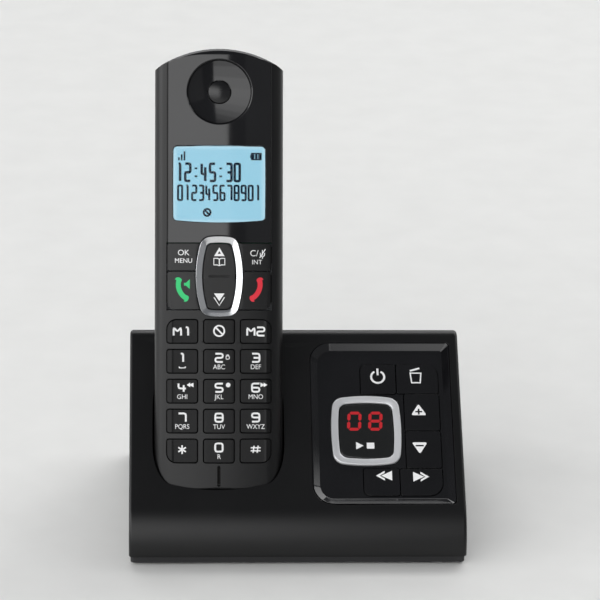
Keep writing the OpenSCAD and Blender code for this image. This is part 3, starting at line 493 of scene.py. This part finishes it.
def on_panel(node, right=0.0, up=0.0):
    """Places flat marks on the top of a panel key, so many millimetres off its middle."""
    _, high, mid = box_in(node, deck_turn)

    def place(x, y, z):
        return deck_turn @ Vector((mid.x + right * mm + x, mid.y + up * mm + y, high.z + z))
    return place


moulded("play_stop_key", window_smoke, edge=0.45, steps=4)
counter_glow = finish("counter_glow", tone("7a1016"), 0.4, drift=0.1,
                      sockets={"Emission Color": (*tone("e0222c"), 1.0), "Emission Strength": 0.42})
bar = 1.15             # width of a lit bar of the counter
bar_gap = 0.25         # between the tips of two bars
figure_w = 4.1         # between the middles of a figure's upright bars
figure_h = 3.3         # between the middles of its level bars
figure_slant = 0.06


def lit_bar(x, y, length, upright):
    """A bar of the counter with pointed ends, about a point."""
    half, tip = length / 2, length / 2 - bar / 2
    points = [(-half, 0), (-tip, bar / 2), (tip, bar / 2), (half, 0), (tip, -bar / 2), (-tip, -bar / 2)]
    return [(x + (py if upright else px), y + (px if upright else py)) for px, py in points]


def figure(bars, x, y):
    """One figure of the counter from the letters of its lit bars."""
    spots = {"a": (0, figure_h, False), "g": (0, 0, False), "d": (0, -figure_h, False)}
    for letter, sx, sy in (("f", -1, 1), ("b", 1, 1), ("e", -1, -1), ("c", 1, -1)):
        spots[letter] = (sx * figure_w / 2, sy * figure_h / 2, True)
    made = []
    for bar_x, bar_y, upright in (spots[letter] for letter in bars):
        length = (figure_h if upright else figure_w) - bar_gap
        made.append(moved(lit_bar(bar_x, bar_y, length, upright), x, y, slant=figure_slant))
    return made


counter_y, sign_y = 3.9, -6.1
printed("counter_figures", [shapes(figure("abcdef", -4.3, counter_y) + figure("abcdefg", 3.5, counter_y))],
        counter_glow, "play_stop_key", on_panel("play_stop_key"))
play_sign = [(-1.35, 1.5), (1.45, 0), (-1.35, -1.5)]
stop_sign = [(-1.4, 1.2), (1.4, 1.2), (1.4, -1.2), (-1.4, -1.2)]
printed("play_stop_signs", [shapes([moved(play_sign, -2.6, sign_y), moved(stop_sign, 1.4, sign_y)])],
        legend_white, "play_stop_key", on_panel("play_stop_key"))

# Keys of the control panel
# Six black ABS keys that meet edge to edge in a bracket round the counter, with white printed signs. They
# stand on the switch mat and come up through the floor of the tray.
panel_key_black = finish("panel_key_black", tone("0f0f11"), 0.2, drift=0.15, grain=0.5, relief=0.003)
sign_line = 0.8
up_sign = [(-2.9, -2.1), (0, 2.6), (2.9, -2.1)]
plus = [(-1.3, -0.95), (-0.3, -0.95), (-0.3, -1.85), (0.3, -1.85), (0.3, -0.95), (1.3, -0.95), (1.3, -0.35),
        (0.3, -0.35), (0.3, 0.55), (-0.3, 0.55), (-0.3, -0.35), (-1.3, -0.35)]
minus = [(-1.5, 0.45), (1.5, 0.45), (1.5, 1.05), (-1.5, 1.05)]
down_sign = [(x, -y) for x, y in up_sign]
skip_tail = [(-3.0, 0), (0.2, 1.95), (0.2, 1.15), (-1.65, 0), (0.2, -1.15), (0.2, -1.95)]
skip_head = [(-1.1, 0), (2.9, 1.95), (2.9, -1.95)]


def flipped(points):
    """Points mirrored from left to right."""
    return [(-x, y) for x, y in points]


def soft(points, reach):
    """The same closed outline with its corners cut round, so far to both sides of each."""
    made = []
    for i, p in enumerate(points):
        p = Vector(p)
        ends = []
        for q in (Vector(points[i - 1]), Vector(points[(i + 1) % len(points)])):
            ends.append(p + (q - p).normalized() * min(reach, (q - p).length / 2))
        middle = (ends[0] + 2 * p + ends[1]) / 4
        made += [tuple(ends[0]), tuple(middle), tuple(ends[1])]
    return made


power_ring = arc((0, -0.3), 2.45, math.radians(118), math.radians(422), 40)
bin_body = [(-2.0, 1.1), (2.0, 1.1), (1.6, -2.9), (-1.6, -2.9), (-2.0, 1.1)]
panel_signs = {
    "key_power": (0.3, 1.2, strokes([power_ring, [(0, 3.2), (0, 0.4)]], sign_line)),
    "key_delete": (-0.8, 1.0, strokes([bin_body, [(-2.1, 2.0), (1.5, 3.1)]], 0.9 * sign_line)),
    "key_volume_up": (-1.2, 0.9, [shapes([soft(up_sign, 0.8), plus])]),
    "key_volume_down": (-1.4, 0.8, [shapes([soft(down_sign, 0.8), minus])]),
    "key_skip_back": (1.3, 2.5, [shapes([skip_tail, skip_head])]),
    "key_skip_forward": (-0.5, 2.5, [shapes([flipped(skip_tail), flipped(skip_head)])]),
}
for node, (right, up, marks) in panel_signs.items():
    moulded(node, panel_key_black, edge=0.2)
    printed(node + "_sign", marks, legend_white, node, on_panel(node, right, up))

# Works inside the handset
# A green fibreglass board with a silicone key mat on its front, the receiver in a metal can, a paper-cone
# speaker for hands-free talk and a microphone in the foot. They sit in pockets of the two shells.
capsule_metal = finish("capsule_metal", tone("6d6e71"), 0.35, drift=0.2, sockets={"Metallic": 1.0})
paint(nodes["handset_board"], board_green)
paint(nodes["handset_keypad_mat"], silicone)
paint(nodes["receiver_capsule"], capsule_metal)
for node in ("handsfree_speaker", "microphone"):
    paint(nodes[node], speaker_dark)

# Handset covers
# Two ABS half shells that meet round the waist and are held by screws at the head and hooks at the foot.
# The front one is pierced for the keys. Both have a satin skin much like that of the base.
lift = Vector(next(j["axis"] for j in frame["joints"] if j["name"] == "handset_lift"))
handset_turn = Matrix.Rotation(-math.atan2(lift.y, lift.z), 4, "X")
cover_low, cover_high, cover_mid = box_in("handset_front_cover", handset_turn)
face_x, face_y, head_z = cover_mid.x, cover_low.y, cover_high.z
crown_r, rail_r = 140 * mm, 7 * mm
rail_x = (cover_high.x - cover_low.x) / 2 - rail_r
rail_a = math.asin(rail_x / (crown_r - rail_r))
rail_y = crown_r - (crown_r - rail_r) * math.cos(rail_a)
handset_black = finish("handset_black", tone("0a0a0b"), 0.37, drift=0.06, grain=0.35, relief=0.005,
                       sockets={"Specular IOR Level": 0.37})
front_cover = moulded("handset_front_cover", handset_black, edge=0.07)
moulded("handset_rear_cover", handset_black)

# the true curve of the front, whose normals keep the face even between the holes of the keys
to_front = 1.5 * math.pi
front_curve = arc((-rail_x, rail_y), rail_r, math.pi, to_front - rail_a, 24)
front_curve += arc((0, crown_r), crown_r, to_front - rail_a, to_front + rail_a, 64)[1:-1]
front_curve += arc((rail_x, rail_y), rail_r, to_front + rail_a, 2 * math.pi, 24)
guide_rings = [[handset_turn @ Vector((face_x + x, face_y + y, z)) for x, y in front_curve]
               for z in (cover_low.z, cover_high.z)]
front_guide = loft("front_guide", guide_rings)
bpy.ops.object.shade_smooth_by_angle(angle=math.radians(20))
shape(front_cover, "DATA_TRANSFER", object=front_guide, use_loop_data=True,
      data_types_loops={"CUSTOM_NORMAL"}, loop_mapping="POLYINTERP_NEAREST", use_max_distance=True,
      max_distance=0.02 * mm)
bpy.data.objects.remove(front_guide)

# Faceplate
# A polished black acrylic insert over the head of the handset, crowned like the rest of the face. The ear
# dish is turned into it and the display window is cut out. It is bonded into a rebate of the front cover.
plate_low, plate_high, _ = box_in("faceplate", handset_turn)
plate_t, plate_edge, plate_ease = 2.4 * mm, 0.2 * mm, 0.06 * mm
plate_half = (plate_high.x - plate_low.x) / 2


def crown(x, rise=0.0):
    """Depth of the crowned face so far from its middle line, or of a surface that stands proud of it."""
    radius = crown_r + rise
    return face_y - rise + radius - math.sqrt(radius ** 2 - x ** 2)


def on_head(outline, depth):
    """An outline of the face at a depth below its crown."""
    return [handset_turn @ Vector((face_x + x, crown(x) + depth, z)) for x, z in outline]


def on_plane(outline, depth):
    """An outline of the face on a flat plane at a depth below its middle line."""
    return [handset_turn @ Vector((face_x + x, face_y + depth, z)) for x, z in outline]


def disc(radius, z):
    """A circle on the face's middle line."""
    return [(px, z + pz) for px, pz in arc((0, 0), radius, 0, 2 * math.pi, 192)[:-1]]


# the crowned plate with its eased sides, drawn along the handset
strips = 126
front = [plate_half * (2 * i / strips - 1) * (1 - plate_edge / plate_half) for i in range(strips + 1)]
section = [(-plate_half, plate_t), (-plate_half, plate_edge), (-plate_half + plate_ease, plate_ease)]
section += [(x, 0.0) for x in front]
section += [(-x, d) for x, d in reversed(section[:3])] + [(-x, plate_t) for x in front]
plate_rings = [[handset_turn @ Vector((face_x + x, crown(x) + d, z)) for x, d in section]
               for z in (plate_low.z, plate_high.z)]
faceplate = loft("gloss_faceplate", plate_rings)

# the thicker back behind the ear dish
ear_z = box_in("earpiece_grille", handset_turn)[2].z
dish_r, boss_front, dish_back = 11.9 * mm, 1.7 * mm, 4.8 * mm
hole_r, hole_depth = 4.4 * mm, 2.6 * mm
bowl_r, bowl_depth = 11.35 * mm, 1.45 * mm
bowl_ball = (bowl_r ** 2 - hole_r ** 2) / (2 * (hole_depth - bowl_depth))
boss = disc(dish_r + 0.6 * mm, ear_z)
cut(faceplate, loft("dish_back", [on_plane(boss, boss_front), on_plane(boss, dish_back)]), "UNION")

# the arched top with its rounded front edge
arch_r, arch_edge = 40 * mm, 2.6 * mm
arch_z = head_z - arch_r - 0.03 * mm
arch_rings = [on_plane(disc(arch_r - arch_edge - 0.4 * mm, arch_z), -0.05 * mm)]
arch_rings += [on_plane(disc(arch_r - arch_edge + px, arch_z), py)
               for px, py in arc((0, arch_edge), arch_edge, -math.pi / 2, 0, 16)]
arch_rings += [on_plane(disc(arch_r, arch_z), 8 * mm)]
cut(faceplate, loft("arch", arch_rings), "INTERSECT")

# the ear dish sunk below the crown with a short steep lip, and the hole for the domed button
dish_lip = [(0.3, -0.2), (0.2, 0.0), (0.05, 0.05), (-0.1, 0.2), (-0.3, 0.9), (-0.4, 1.25)]
dish_rings = [on_plane(disc(dish_r + 0.3 * mm, ear_z), -1.0 * mm)]
dish_rings += [on_head(disc(dish_r + r * mm, ear_z), d * mm) for r, d in dish_lip]
bowl_steps = 16
for i in range(bowl_steps + 1):
    r = bowl_r + (hole_r - bowl_r) * i / bowl_steps
    dish_rings.append(on_head(disc(r, ear_z), hole_depth - (r ** 2 - hole_r ** 2) / (2 * bowl_ball)))
dish_rings += [on_plane(disc(hole_r, ear_z), dish_back + 1 * mm)]
cut(faceplate, loft("dish", dish_rings))

# the display window and the notch over the navigation ring, both with eased edges
lens_low, lens_high, lens_mid = box_in("lcd_panel", handset_turn)
window_w = lens_high.x - lens_low.x - 2 * mm
window_h = lens_high.z - lens_low.z - 2 * mm
window_z = lens_mid.z
window_side, window_top, window_bottom, window_round = 900 * mm, 900 * mm, 160 * mm, 1.5 * mm
eased = [(0.25, -0.25), (0.12, 0.0), (0.04, 0.05), (0.0, 0.14)]


def window(grow=0.0):
    """Outline of the display window, nearly straight along its top and bowed along its bottom."""
    w, h, corner = window_w + 2 * grow, window_h + 2 * grow, window_round + grow
    straight = cushion(w, h, window_side, window_top + grow, corner)
    bowed = cushion(w, h, window_side, window_bottom + grow, corner)
    upper = len(straight) // 2 + 1
    return [(x, window_z + z) for x, z in straight[:upper] + bowed[upper:]]


ring_low, ring_high, ring_mid = box_in("nav_ring", handset_turn)
ring_w, ring_h = ring_high.x - ring_low.x, ring_high.z - ring_low.z
ring_side, ring_end, ring_corner = 42 * mm, 30 * mm, 4 * mm
ring_gap = 0.35 * mm


def ring_outline(grow):
    """Outline of the navigation ring, grown all round."""
    outline = cushion(ring_w + 2 * grow, ring_h + 2 * grow, ring_side + grow, ring_end + grow,
                      ring_corner + grow)
    return [(x, ring_mid.z + z) for x, z in outline]


cut_front, cut_back = -2 * mm, 6 * mm
for name, outline, grow in (("window", window, 0.0), ("ring_notch", ring_outline, ring_gap)):
    rings = [on_plane(outline(grow + eased[0][0] * mm), cut_front)]
    rings += [on_head(outline(grow + g * mm), d * mm) for g, d in eased]
    cut(faceplate, loft(name, rings + [on_plane(outline(grow), cut_back)]))
pick(faceplate)
bpy.ops.object.shade_smooth_by_angle(angle=math.radians(12))
shape(faceplate, "WEIGHTED_NORMAL", keep_sharp=True)
faceplate_gloss = finish("faceplate_gloss", tone("131315"), 0.07, drift=0.2, grain=4.0, relief=0.0006)
settle(faceplate, "faceplate", faceplate_gloss)

# Earpiece
# A domed black button in the middle of the dish. It is one moulding with the pierced disc behind it, which
# covers the receiver capsule.
earpiece_black = finish("earpiece_black", tone("131315"), 0.28, drift=0.1)
moulded("earpiece_grille", earpiece_black, edge=0.15)

# Display
# A clear acrylic lens over a backlit liquid-crystal panel: pale blue field, dark figures and a dark rim
# round the field, which is painted shade of the window's walls and a dark mask. It shows a clock over a row
# of figures, with signal, battery and block signs.
lens_clear = bpy.data.materials.new("lens_clear")
lens_clear.use_nodes = True
lens_sockets = lens_clear.node_tree.nodes["Principled BSDF"].inputs
lens_sockets["Base Color"].default_value = (1.0, 1.0, 1.0, 1.0)
lens_sockets["Roughness"].default_value = 0.02
lens_sockets["Transmission Weight"].default_value = 1.0
lens_sockets["IOR"].default_value = 1.18
paint(nodes["display_lens"], lens_clear)

# the lit field is a little paler along the edge of the window
lcd_blue = finish("lcd_blue", tone("10181c"), 0.5, sockets={"Emission Strength": 0.9})
lcd_tree = lcd_blue.node_tree
lcd_place = node_of(lcd_tree, "TexCoord").outputs["Object"]
lcd_centre = handset_turn @ Vector((face_x, lens_low.y, window_z))
lcd_off = node_of(lcd_tree, "VectorMath", {0: lcd_place, 1: lcd_centre}, operation="SUBTRACT").outputs[0]
lcd_across = node_of(lcd_tree, "SeparateXYZ", {"Vector": lcd_off}).outputs["X"]
lcd_up = node_of(lcd_tree, "VectorMath", {0: lcd_off, 1: lift}, operation="DOT_PRODUCT").outputs["Value"]
side_share = reckon(lcd_tree, "ABSOLUTE", reckon(lcd_tree, "MULTIPLY", lcd_across, 2 / window_w))
rise_share = reckon(lcd_tree, "ABSOLUTE", reckon(lcd_tree, "MULTIPLY", lcd_up, 2 / window_h))
edge_share = reckon(lcd_tree, "MAXIMUM", side_share, rise_share)
lcd_ramp = node_of(lcd_tree, "ValToRGB", {"Fac": edge_share})
lcd_ramp.color_ramp.elements[0].position = 0.88
lcd_ramp.color_ramp.elements[0].color = (*tone("94cfe6"), 1.0)
lcd_ramp.color_ramp.elements[1].position = 0.97
lcd_ramp.color_ramp.elements[1].color = (*tone("b4e0f2"), 1.0)
lcd_tree.links.new(lcd_ramp.outputs["Color"], lcd_tree.nodes["Principled BSDF"].inputs["Emission Color"])
paint(nodes["lcd_panel"], lcd_blue)
backlight_white = finish("backlight_white", tone("e4e6e8"), 0.5)
paint(nodes["lcd_backlight"], backlight_white)
# dark ink of the figures; the same dark finish is also the painted shade of the rim round the field
lcd_ink_and_shade = finish("lcd_ink_and_shade", tone("041e34"), 0.6, drift=0.05, sockets={"Specular IOR Level": 0.06})
ink_rise = 0.05 * mm


def on_lcd(x, y, z):
    """Places flat marks about the middle of the display, on the glass of its panel."""
    return handset_turn @ Vector((face_x + x, lens_low.y - ink_rise - z, window_z + y))


figure_paths = {
    "0": [[(0, 0), (0, 1), (1, 1), (1, 0), (0, 0)]],
    "1": [[(0.3, 1), (0.62, 1), (0.62, 0)]],
    "2": [[(0, 1), (1, 1), (1, 0.5), (0, 0.5), (0, 0), (1, 0)]],
    "3": [[(0, 1), (1, 1), (1, 0), (0, 0)], [(0.2, 0.5), (1, 0.5)]],
    "4": [[(0, 1), (0, 0.4), (1, 0.4)], [(0.7, 0.8), (0.7, 0)]],
    "5": [[(1, 1), (0, 1), (0, 0.5), (1, 0.5), (1, 0), (0, 0)]],
    "6": [[(1, 1), (0, 1), (0, 0), (1, 0), (1, 0.5), (0, 0.5)]],
    "7": [[(0, 1), (1, 1), (1, 0)]],
    "8": [[(0, 0), (0, 1), (1, 1), (1, 0), (0, 0)], [(0, 0.5), (1, 0.5)]],
    "9": [[(1, 0.5), (0, 0.5), (0, 1), (1, 1), (1, 0), (0, 0)]],
    "M": [[(0, 0), (0, 1), (0.5, 0.45), (1, 1), (1, 0)]],
    ":": [[(0.5, 0.22), (0.5, 0.32)], [(0.5, 0.68), (0.5, 0.78)]],
}


def rounded_line(points, reach):
    """A line with its inner corners cut round; a closed line is cut at every corner."""
    if points[0] == points[-1]:
        made = soft(points[:-1], reach)
        return made + made[:1]
    inner = soft(points, reach)
    return [points[0]] + inner[3:-3] + [points[-1]]


def figures(text, x, y, w, h, pitch, corner):
    """Lines of a row of squared figures whose first lower left corner is at x and y."""
    return [rounded_line([(x + i * pitch + px * w, y + py * h) for px, py in line], corner)
            for i, letter in enumerate(text) for line in figure_paths[letter]]


def bar_at(x, y, w, h):
    """Outline of an upright bar from its lower left corner."""
    return [(x, y), (x + w, y), (x + w, y + h), (x, y + h)]


clock = figures("12:45:30", x=-15.4, y=1.2, w=1.85, h=6.3, pitch=3.0, corner=0.5)
number = figures("012345678901", x=-15.0, y=-5.8, w=1.5, h=5.3, pitch=2.57, corner=0.4)
clock_line, number_line, lcd_sign_line = 0.95, 0.76, 0.72
signal_y = 8.7
signal_bars = [bar_at(x, signal_y, 0.62, h) for x, h in ((-15.0, 1.1), (-14.0, 2.2), (-13.0, 3.3))]
battery_case = bar_at(11.8, 9.1, 3.4, 2.2)
battery_bars = [bar_at(x, 9.2, 0.9, 2.0) for x in (11.9, 13.05, 14.2)]
battery_tip = bar_at(11.2, 9.7, 0.45, 1.0)
block_x, block_y, block_r, block_reach = -4.4, -10.3, 1.25, 0.85
lcd_block = [arc((block_x, block_y), block_r, 0, 2 * math.pi, 24),
             [(block_x - block_reach, block_y + block_reach), (block_x + block_reach, block_y - block_reach)]]
lcd_marks = strokes(clock, clock_line) + strokes(number, number_line)
lcd_marks += [shapes(signal_bars + battery_bars + [battery_tip])]
lcd_marks += strokes([battery_case + battery_case[:1]] + lcd_block, lcd_sign_line)
printed("display_figures", lcd_marks, lcd_ink_and_shade, "handset", on_lcd)
# a dark ring round the lit field behind the window's edge: painted shade of the window's walls, and a dark mask
rim_section = [(0.8, 0.02), (0.8, 0.05), (-0.2, 0.05), (-0.2, 0.02)]
rim_depth = lens_low.y - face_y
rim_rings = [on_plane(window(grow * mm), rim_depth - rise * mm) for grow, rise in rim_section]
display_rim_shade = loft("display_rim_shade", rim_rings + rim_rings[:1])
paint(display_rim_shade, lcd_ink_and_shade)
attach(display_rim_shade, "handset")

# Navigation ring and key
# The ring is a bright chromed moulding snapped into the face. The rocker inside it is black ABS on two side
# pins, with a short groove across its middle and white printed arrows and phone book.
key_black = finish("key_black", tone("0a0a0b"), 0.36, drift=0.06, grain=0.35, relief=0.005,
                   sockets={"Specular IOR Level": 0.38})
ring_section = [(0.0, 0.5), (0.0, -0.84), (0.06, -0.9), (1.2, -0.56), (2.16, -0.27), (2.26, -0.2),
                (2.3, -0.1), (2.3, 0.5)]
bright_chrome = finish("bright_chrome", tone("dfe0e2"), 0.16, drift=0.06, grain=0.5, relief=0.001,
                       sockets={"Metallic": 1.0})
nav_rings = [on_head(ring_outline(-inset * mm), depth * mm) for inset, depth in ring_section]
trim("nav_ring", nav_rings, bright_chrome)
moulded("nav_key", key_black, edge=0.15)
nav_low, _, nav_mid = box_in("nav_key", handset_turn)


def on_nav(x, y, z):
    """Places flat marks about the middle of the navigation key, on its front."""
    return handset_turn @ Vector((face_x + x, nav_low.y - z, nav_mid.z + y))


nav_up = [(-1.9, 7.4), (0, 10.6), (1.9, 7.4)]
nav_up_eye = [(-0.6, 8.2), (0, 9.2), (0.6, 8.2)]
nav_down = [(-1.9, -6.2), (1.9, -6.2), (0, -9.0)]
nav_book = [(0, 3.9), (-0.7, 4.2), (-2.0, 4.2), (-2.0, 6.6), (-0.7, 6.6), (0, 6.3), (0.7, 6.6), (2.0, 6.6),
            (2.0, 4.2), (0.7, 4.2), (0, 3.9)]
nav_spine = [(0, 3.9), (0, 6.3)]
nav_chevron = [(-1.9, -7.6), (0, -10.6), (1.9, -7.6)]
nav_line = 0.38
nav_marks = [shapes([nav_up, nav_up_eye, nav_down])]
nav_marks += strokes([nav_book, nav_spine, nav_chevron], nav_line)
printed("nav_key_signs", nav_marks, legend_white, "nav_key", on_nav)

# Function keys
# Four black keys beside the ring, moulded in translucent plastic and painted, so that the green and red
# handset signs glow. The words are laser-etched through the paint.
function_rise = 0.25 * mm


def glowing(name, code):
    """A legend that is lit a little from behind."""
    return finish(name, tone(code), 0.45, drift=0.03,
                  sockets={"Emission Color": (*tone(code), 1.0), "Emission Strength": 0.2})


def on_key(node, rise):
    """Places flat marks about the middle of a handset key that follows the crown."""
    mid = box_in(node, handset_turn)[2]

    def place(x, y, z):
        return handset_turn @ Vector((mid.x + x, crown(mid.x + x - face_x, rise) - z, mid.z + y))
    return place


def earphone(tilt):
    """Outline of a telephone handset, a bowed grip with two round ends, leaning to one side."""
    grip = arc((6.2, 0), 7.0, math.radians(142), math.radians(218), 14)
    inner = arc((6.2, 0), 5.1, math.radians(212), math.radians(148), 14)
    ends = [(-0.1, -4.4), (0.9, -5.1), (2.1, -4.6), (2.7, -3.4)]
    tops = [(x, -y) for x, y in reversed(ends)]
    cos, sin = math.cos(math.radians(tilt)), math.sin(math.radians(tilt))
    return [(x * cos - y * sin, x * sin + y * cos) for x, y in soft(grip + ends + inner + tops, 0.5)]


legend_green = glowing("legend_green", "18b868")
legend_red = glowing("legend_red", "cf2434")
talk_sign = moved(earphone(tilt=22), x=-1.3, scale=0.95)
speaker_sign = [(0.5, 1.6), (1.2, 1.6), (2.6, 2.9), (2.6, -0.7), (1.2, 0.6), (0.5, 0.6)]
mute_body = [(2.4, 0.6), (2.4, 2.6)]
mute_cup = [(1.6, 1.6), (1.7, 0.5), (2.4, 0.1), (3.1, 0.5), (3.2, 1.6)]
mute_stem = [(2.4, 0.1), (2.4, -0.6)]
mute_bar = [(1.4, -0.3), (3.5, 2.9)]
mute_line = 0.34
ok_words = [words("OK", height=2.1, x=0.3, y=1.5), words("MENU", height=1.7, x=0.3, y=-1.4)]
cancel_words = [words("C/", height=2.3, x=-0.6, y=1.3), words("INT", height=1.7, x=0.4, y=-1.9)]
cancel_words += strokes([mute_body, mute_cup, mute_stem, mute_bar], mute_line)
function_signs = {
    "key_ok": [("words", legend_white, ok_words)],
    "key_cancel": [("words", legend_white, cancel_words)],
    "key_talk": [("call", legend_green, [shapes([talk_sign])]),
                 ("speaker", legend_green, [shapes([moved(speaker_sign, y=1.2)])])],
    "key_end": [("call", legend_red, [shapes([flipped(talk_sign)])])],
}
for node, prints in function_signs.items():
    moulded(node, key_black, edge=0.2)
    for label, material, marks in prints:
        printed(f"{node}_{label}", marks, material, node, on_key(node, function_rise))

# Keypad
# Fifteen black keys with a soft-touch lacquer, on the silicone mat. The outer columns are dished with a
# raised outer edge. Squared white figures with the usual small letters are etched on them.
key_rise = 0.5 * mm
soft_black = finish("soft_black", tone("0a0a0b"), 0.38, drift=0.06, grain=0.3, relief=0.004,
                    sockets={"Specular IOR Level": 0.24})
keypad = {
    "key_m1": ("M1", ""), "key_block": ("", ""), "key_m2": ("M2", ""),
    "key_1": ("1", ""), "key_2": ("2", "ABC"), "key_3": ("3", "DEF"),
    "key_4": ("4", "GHI"), "key_5": ("5", "JKL"), "key_6": ("6", "MNO"),
    "key_7": ("7", "PQRS"), "key_8": ("8", "TUV"), "key_9": ("9", "WXYZ"),
    "key_star": ("", ""), "key_0": ("0", "R"), "key_hash": ("", ""),
}
figure_line = 0.72
star_lines = [[(-1.6 * math.cos(a), 0.5 - 1.6 * math.sin(a)), (1.6 * math.cos(a), 0.5 + 1.6 * math.sin(a))]
              for a in (math.pi / 2, math.pi / 6, -math.pi / 6)]
hash_lines = [[(-1.8, y), (1.8, y)] for y in (0.05, 1.15)]
hash_lines += [[(x - 0.2, -0.7), (x + 0.2, 1.9)] for x in (-0.75, 0.75)]
block_sign = arc((0, 0.2), 1.9, 0, 2 * math.pi, 32)
block_bar = [(-1.3, 1.5), (1.3, -1.1)]
space_sign = [(-1.2, -1.9), (-1.0, -2.4), (1.0, -2.4), (1.2, -1.9)]
lock_body = soft(bar_at(2.5, 0.8, 1.2, 1.2), 0.4)
lock_bow = arc((3.1, 2.0), 0.4, 0, math.pi, 8)
record_dot = arc((3.3, 2.3), 0.85, 0, 2 * math.pi, 24)[:-1]
fast_sign = [(-1.3, 0), (0, 0.85), (0, 0.25), (1.2, 0.85), (1.2, -0.85), (0, -0.25), (0, -0.85)]
fast_x, fast_y = 2.9, 2.3
key_signs = {
    "key_star": strokes(star_lines, width=0.6),
    "key_hash": strokes(hash_lines, width=0.5),
    "key_block": strokes([block_sign, block_bar], width=0.62),
    "key_1": strokes([space_sign], width=0.45),
    "key_2": strokes([lock_body + lock_body[:1], lock_bow], width=0.3),
    "key_4": [shapes([moved(fast_sign, fast_x, fast_y)])],
    "key_5": [shapes([record_dot])],
    "key_6": [shapes([moved(flipped(fast_sign), fast_x, fast_y)])],
}

# the dish of an outer key: its reach from the face's middle line, its depth there and the slope of its lip
dish_near, dish_far = 2.4 * mm, 16.3 * mm
dish_low, dish_fall, lip_slope = 0.75 * mm, 0.2 * mm, 0.25
middle_column = 5 * mm


def on_keypad(node):
    """Places flat marks on a keypad key: on the crown in the middle column, on the dish beside it."""
    mid = box_in(node, handset_turn)[2]
    outer = abs(mid.x - face_x) > middle_column

    def place(x, y, z):
        from_middle = abs(mid.x + x - face_x)
        past = from_middle - dish_far
        if not outer:
            depth = crown(from_middle, key_rise)
        elif past < 0:
            depth = face_y + dish_low + dish_fall * past / (dish_far - dish_near)
        else:
            depth = face_y + dish_low - lip_slope * past
        return handset_turn @ Vector((mid.x + x, depth - z, mid.z + y))
    return place


big_w, big_h, big_pitch, big_corner = 2.7, 3.0, 3.6, 0.7
small_h, small_y = 1.75, -2.1
for node, (big, small) in keypad.items():
    moulded(node, soft_black, edge=0.2)
    marks = []
    if big:
        left = -(len(big) - 1) * big_pitch / 2 - big_w / 2
        foot = (0.0 if len(big) > 1 else 1.3) - big_h / 2
        marks += strokes(figures(big, left, foot, big_w, big_h, big_pitch, big_corner), figure_line)
    if small:
        marks.append(words(small, small_h, 0, small_y, stretch=0.95 if len(small) < 4 else 0.92))
    marks += key_signs.get(node, [])
    printed(node + "_legend", marks, legend_white, node, on_keypad(node))

# Back of the handset
# A snap-on battery door with thumb grooves over two sleeved cells between sprung contacts, two small screws
# and two nickel charging strips in the foot.
moulded("battery_door", handset_black, edge=0.2)
cell_sleeve = finish("cell_sleeve", tone("2f7d57"), 0.3, drift=0.12)
paint(nodes["battery_cells"], cell_sleeve)
nickel = finish("nickel", tone("c4c5c7"), 0.28, drift=0.15, sockets={"Metallic": 1.0})
paint(nodes["battery_contacts"], nickel)
paint(nodes["handset_charge_contacts"], nickel)
moulded("handset_screws", zinc, edge=0.15)

# Studio
# A pale seamless floor in plain soft light. The gloss faces mirror a fading wall in front on the left. Boxes
# behind and on the right pick out the crest, the rims and the walls of the panel. A small card with a narrow
# beam in front lights the panel's far wall.
bpy.context.scene.view_settings.view_transform = "Standard"
bpy.ops.object.select_all(action="DESELECT")
bpy.ops.mesh.primitive_plane_add(size=8)
floor = bpy.context.object
floor.name = "floor"
pale_floor = finish("pale_floor", tone("dcdcda"), 0.7, drift=0.02, grain=2.0, relief=0.02)
paint(floor, pale_floor)


def softbox(name, place, aim, width, height, power):
    """A rectangular area light that faces a point; metres and watts."""
    bpy.ops.object.select_all(action="DESELECT")
    bpy.ops.object.light_add(type="AREA", location=place)
    lamp = bpy.context.object
    lamp.name = name
    lamp.rotation_euler = (Vector(aim) - Vector(place)).to_track_quat("-Z", "Y").to_euler()
    lamp.data.shape = "RECTANGLE"
    lamp.data.size = width
    lamp.data.size_y = height
    lamp.data.energy = power
    return lamp.data


# strips of light, one above the other, brightest at one height and fading above and below it
wall_low, wall_step, wall_w = 0.16, 0.24, 2.74
wall_bright, wall_fade, wall_power = 0.88, 0.95, 5.15
wall_foot, wall_turn = (-1.131, -0.991), Vector((0.438, 0.898, 0.0))
for i in range(9):
    height = wall_low + i * wall_step
    glow = math.exp(-((height - wall_bright) / wall_fade) ** 2)
    wall_place = Vector((*wall_foot, height))
    softbox(f"front_wall_{i}", wall_place, wall_place + wall_turn, wall_w, wall_step, wall_power * glow)

# plain walls and boxes, and the card
panel_left_wall, panel_far_wall = (0.008, -0.02, 0.038), (0.031, 0.011, 0.062)
back_aim = (0.1, -0.02, 0.035)
softbox("left_wall", (-2.33, 0.1, 0.9), (0.0, 0.1, 0.9), width=1.0, height=1.7, power=19)
softbox("right_wall", (1.06, -1.06, 0.75), (0, 0, 0.75), width=2.1, height=1.1, power=0.95)
softbox("right_box", (0.973, 0.607, 1.15), panel_left_wall, width=1.06, height=0.62, power=6)
softbox("right_strip", (1.042, 0.209, 0.552), panel_left_wall, width=0.34, height=0.206, power=0.55)
softbox("back_box_low", (0.1, 2.2, 1.534), back_aim, width=3.4, height=0.66, power=20)
softbox("back_box_high", (0.1, 1.44, 2.283), back_aim, width=3.4, height=0.56, power=24)
card = softbox("low_card", (0.12, -0.82, 0.217), panel_far_wall, width=0.12, height=0.1, power=0.00015)
card.spread = math.radians(8)
world = bpy.data.worlds.new("studio")
bpy.context.scene.world = world
world.use_nodes = True
background = world.node_tree.nodes["Background"].inputs
background["Color"].default_value = (0.92, 0.95, 1.0, 1.0)
background["Strength"].default_value = 0.17
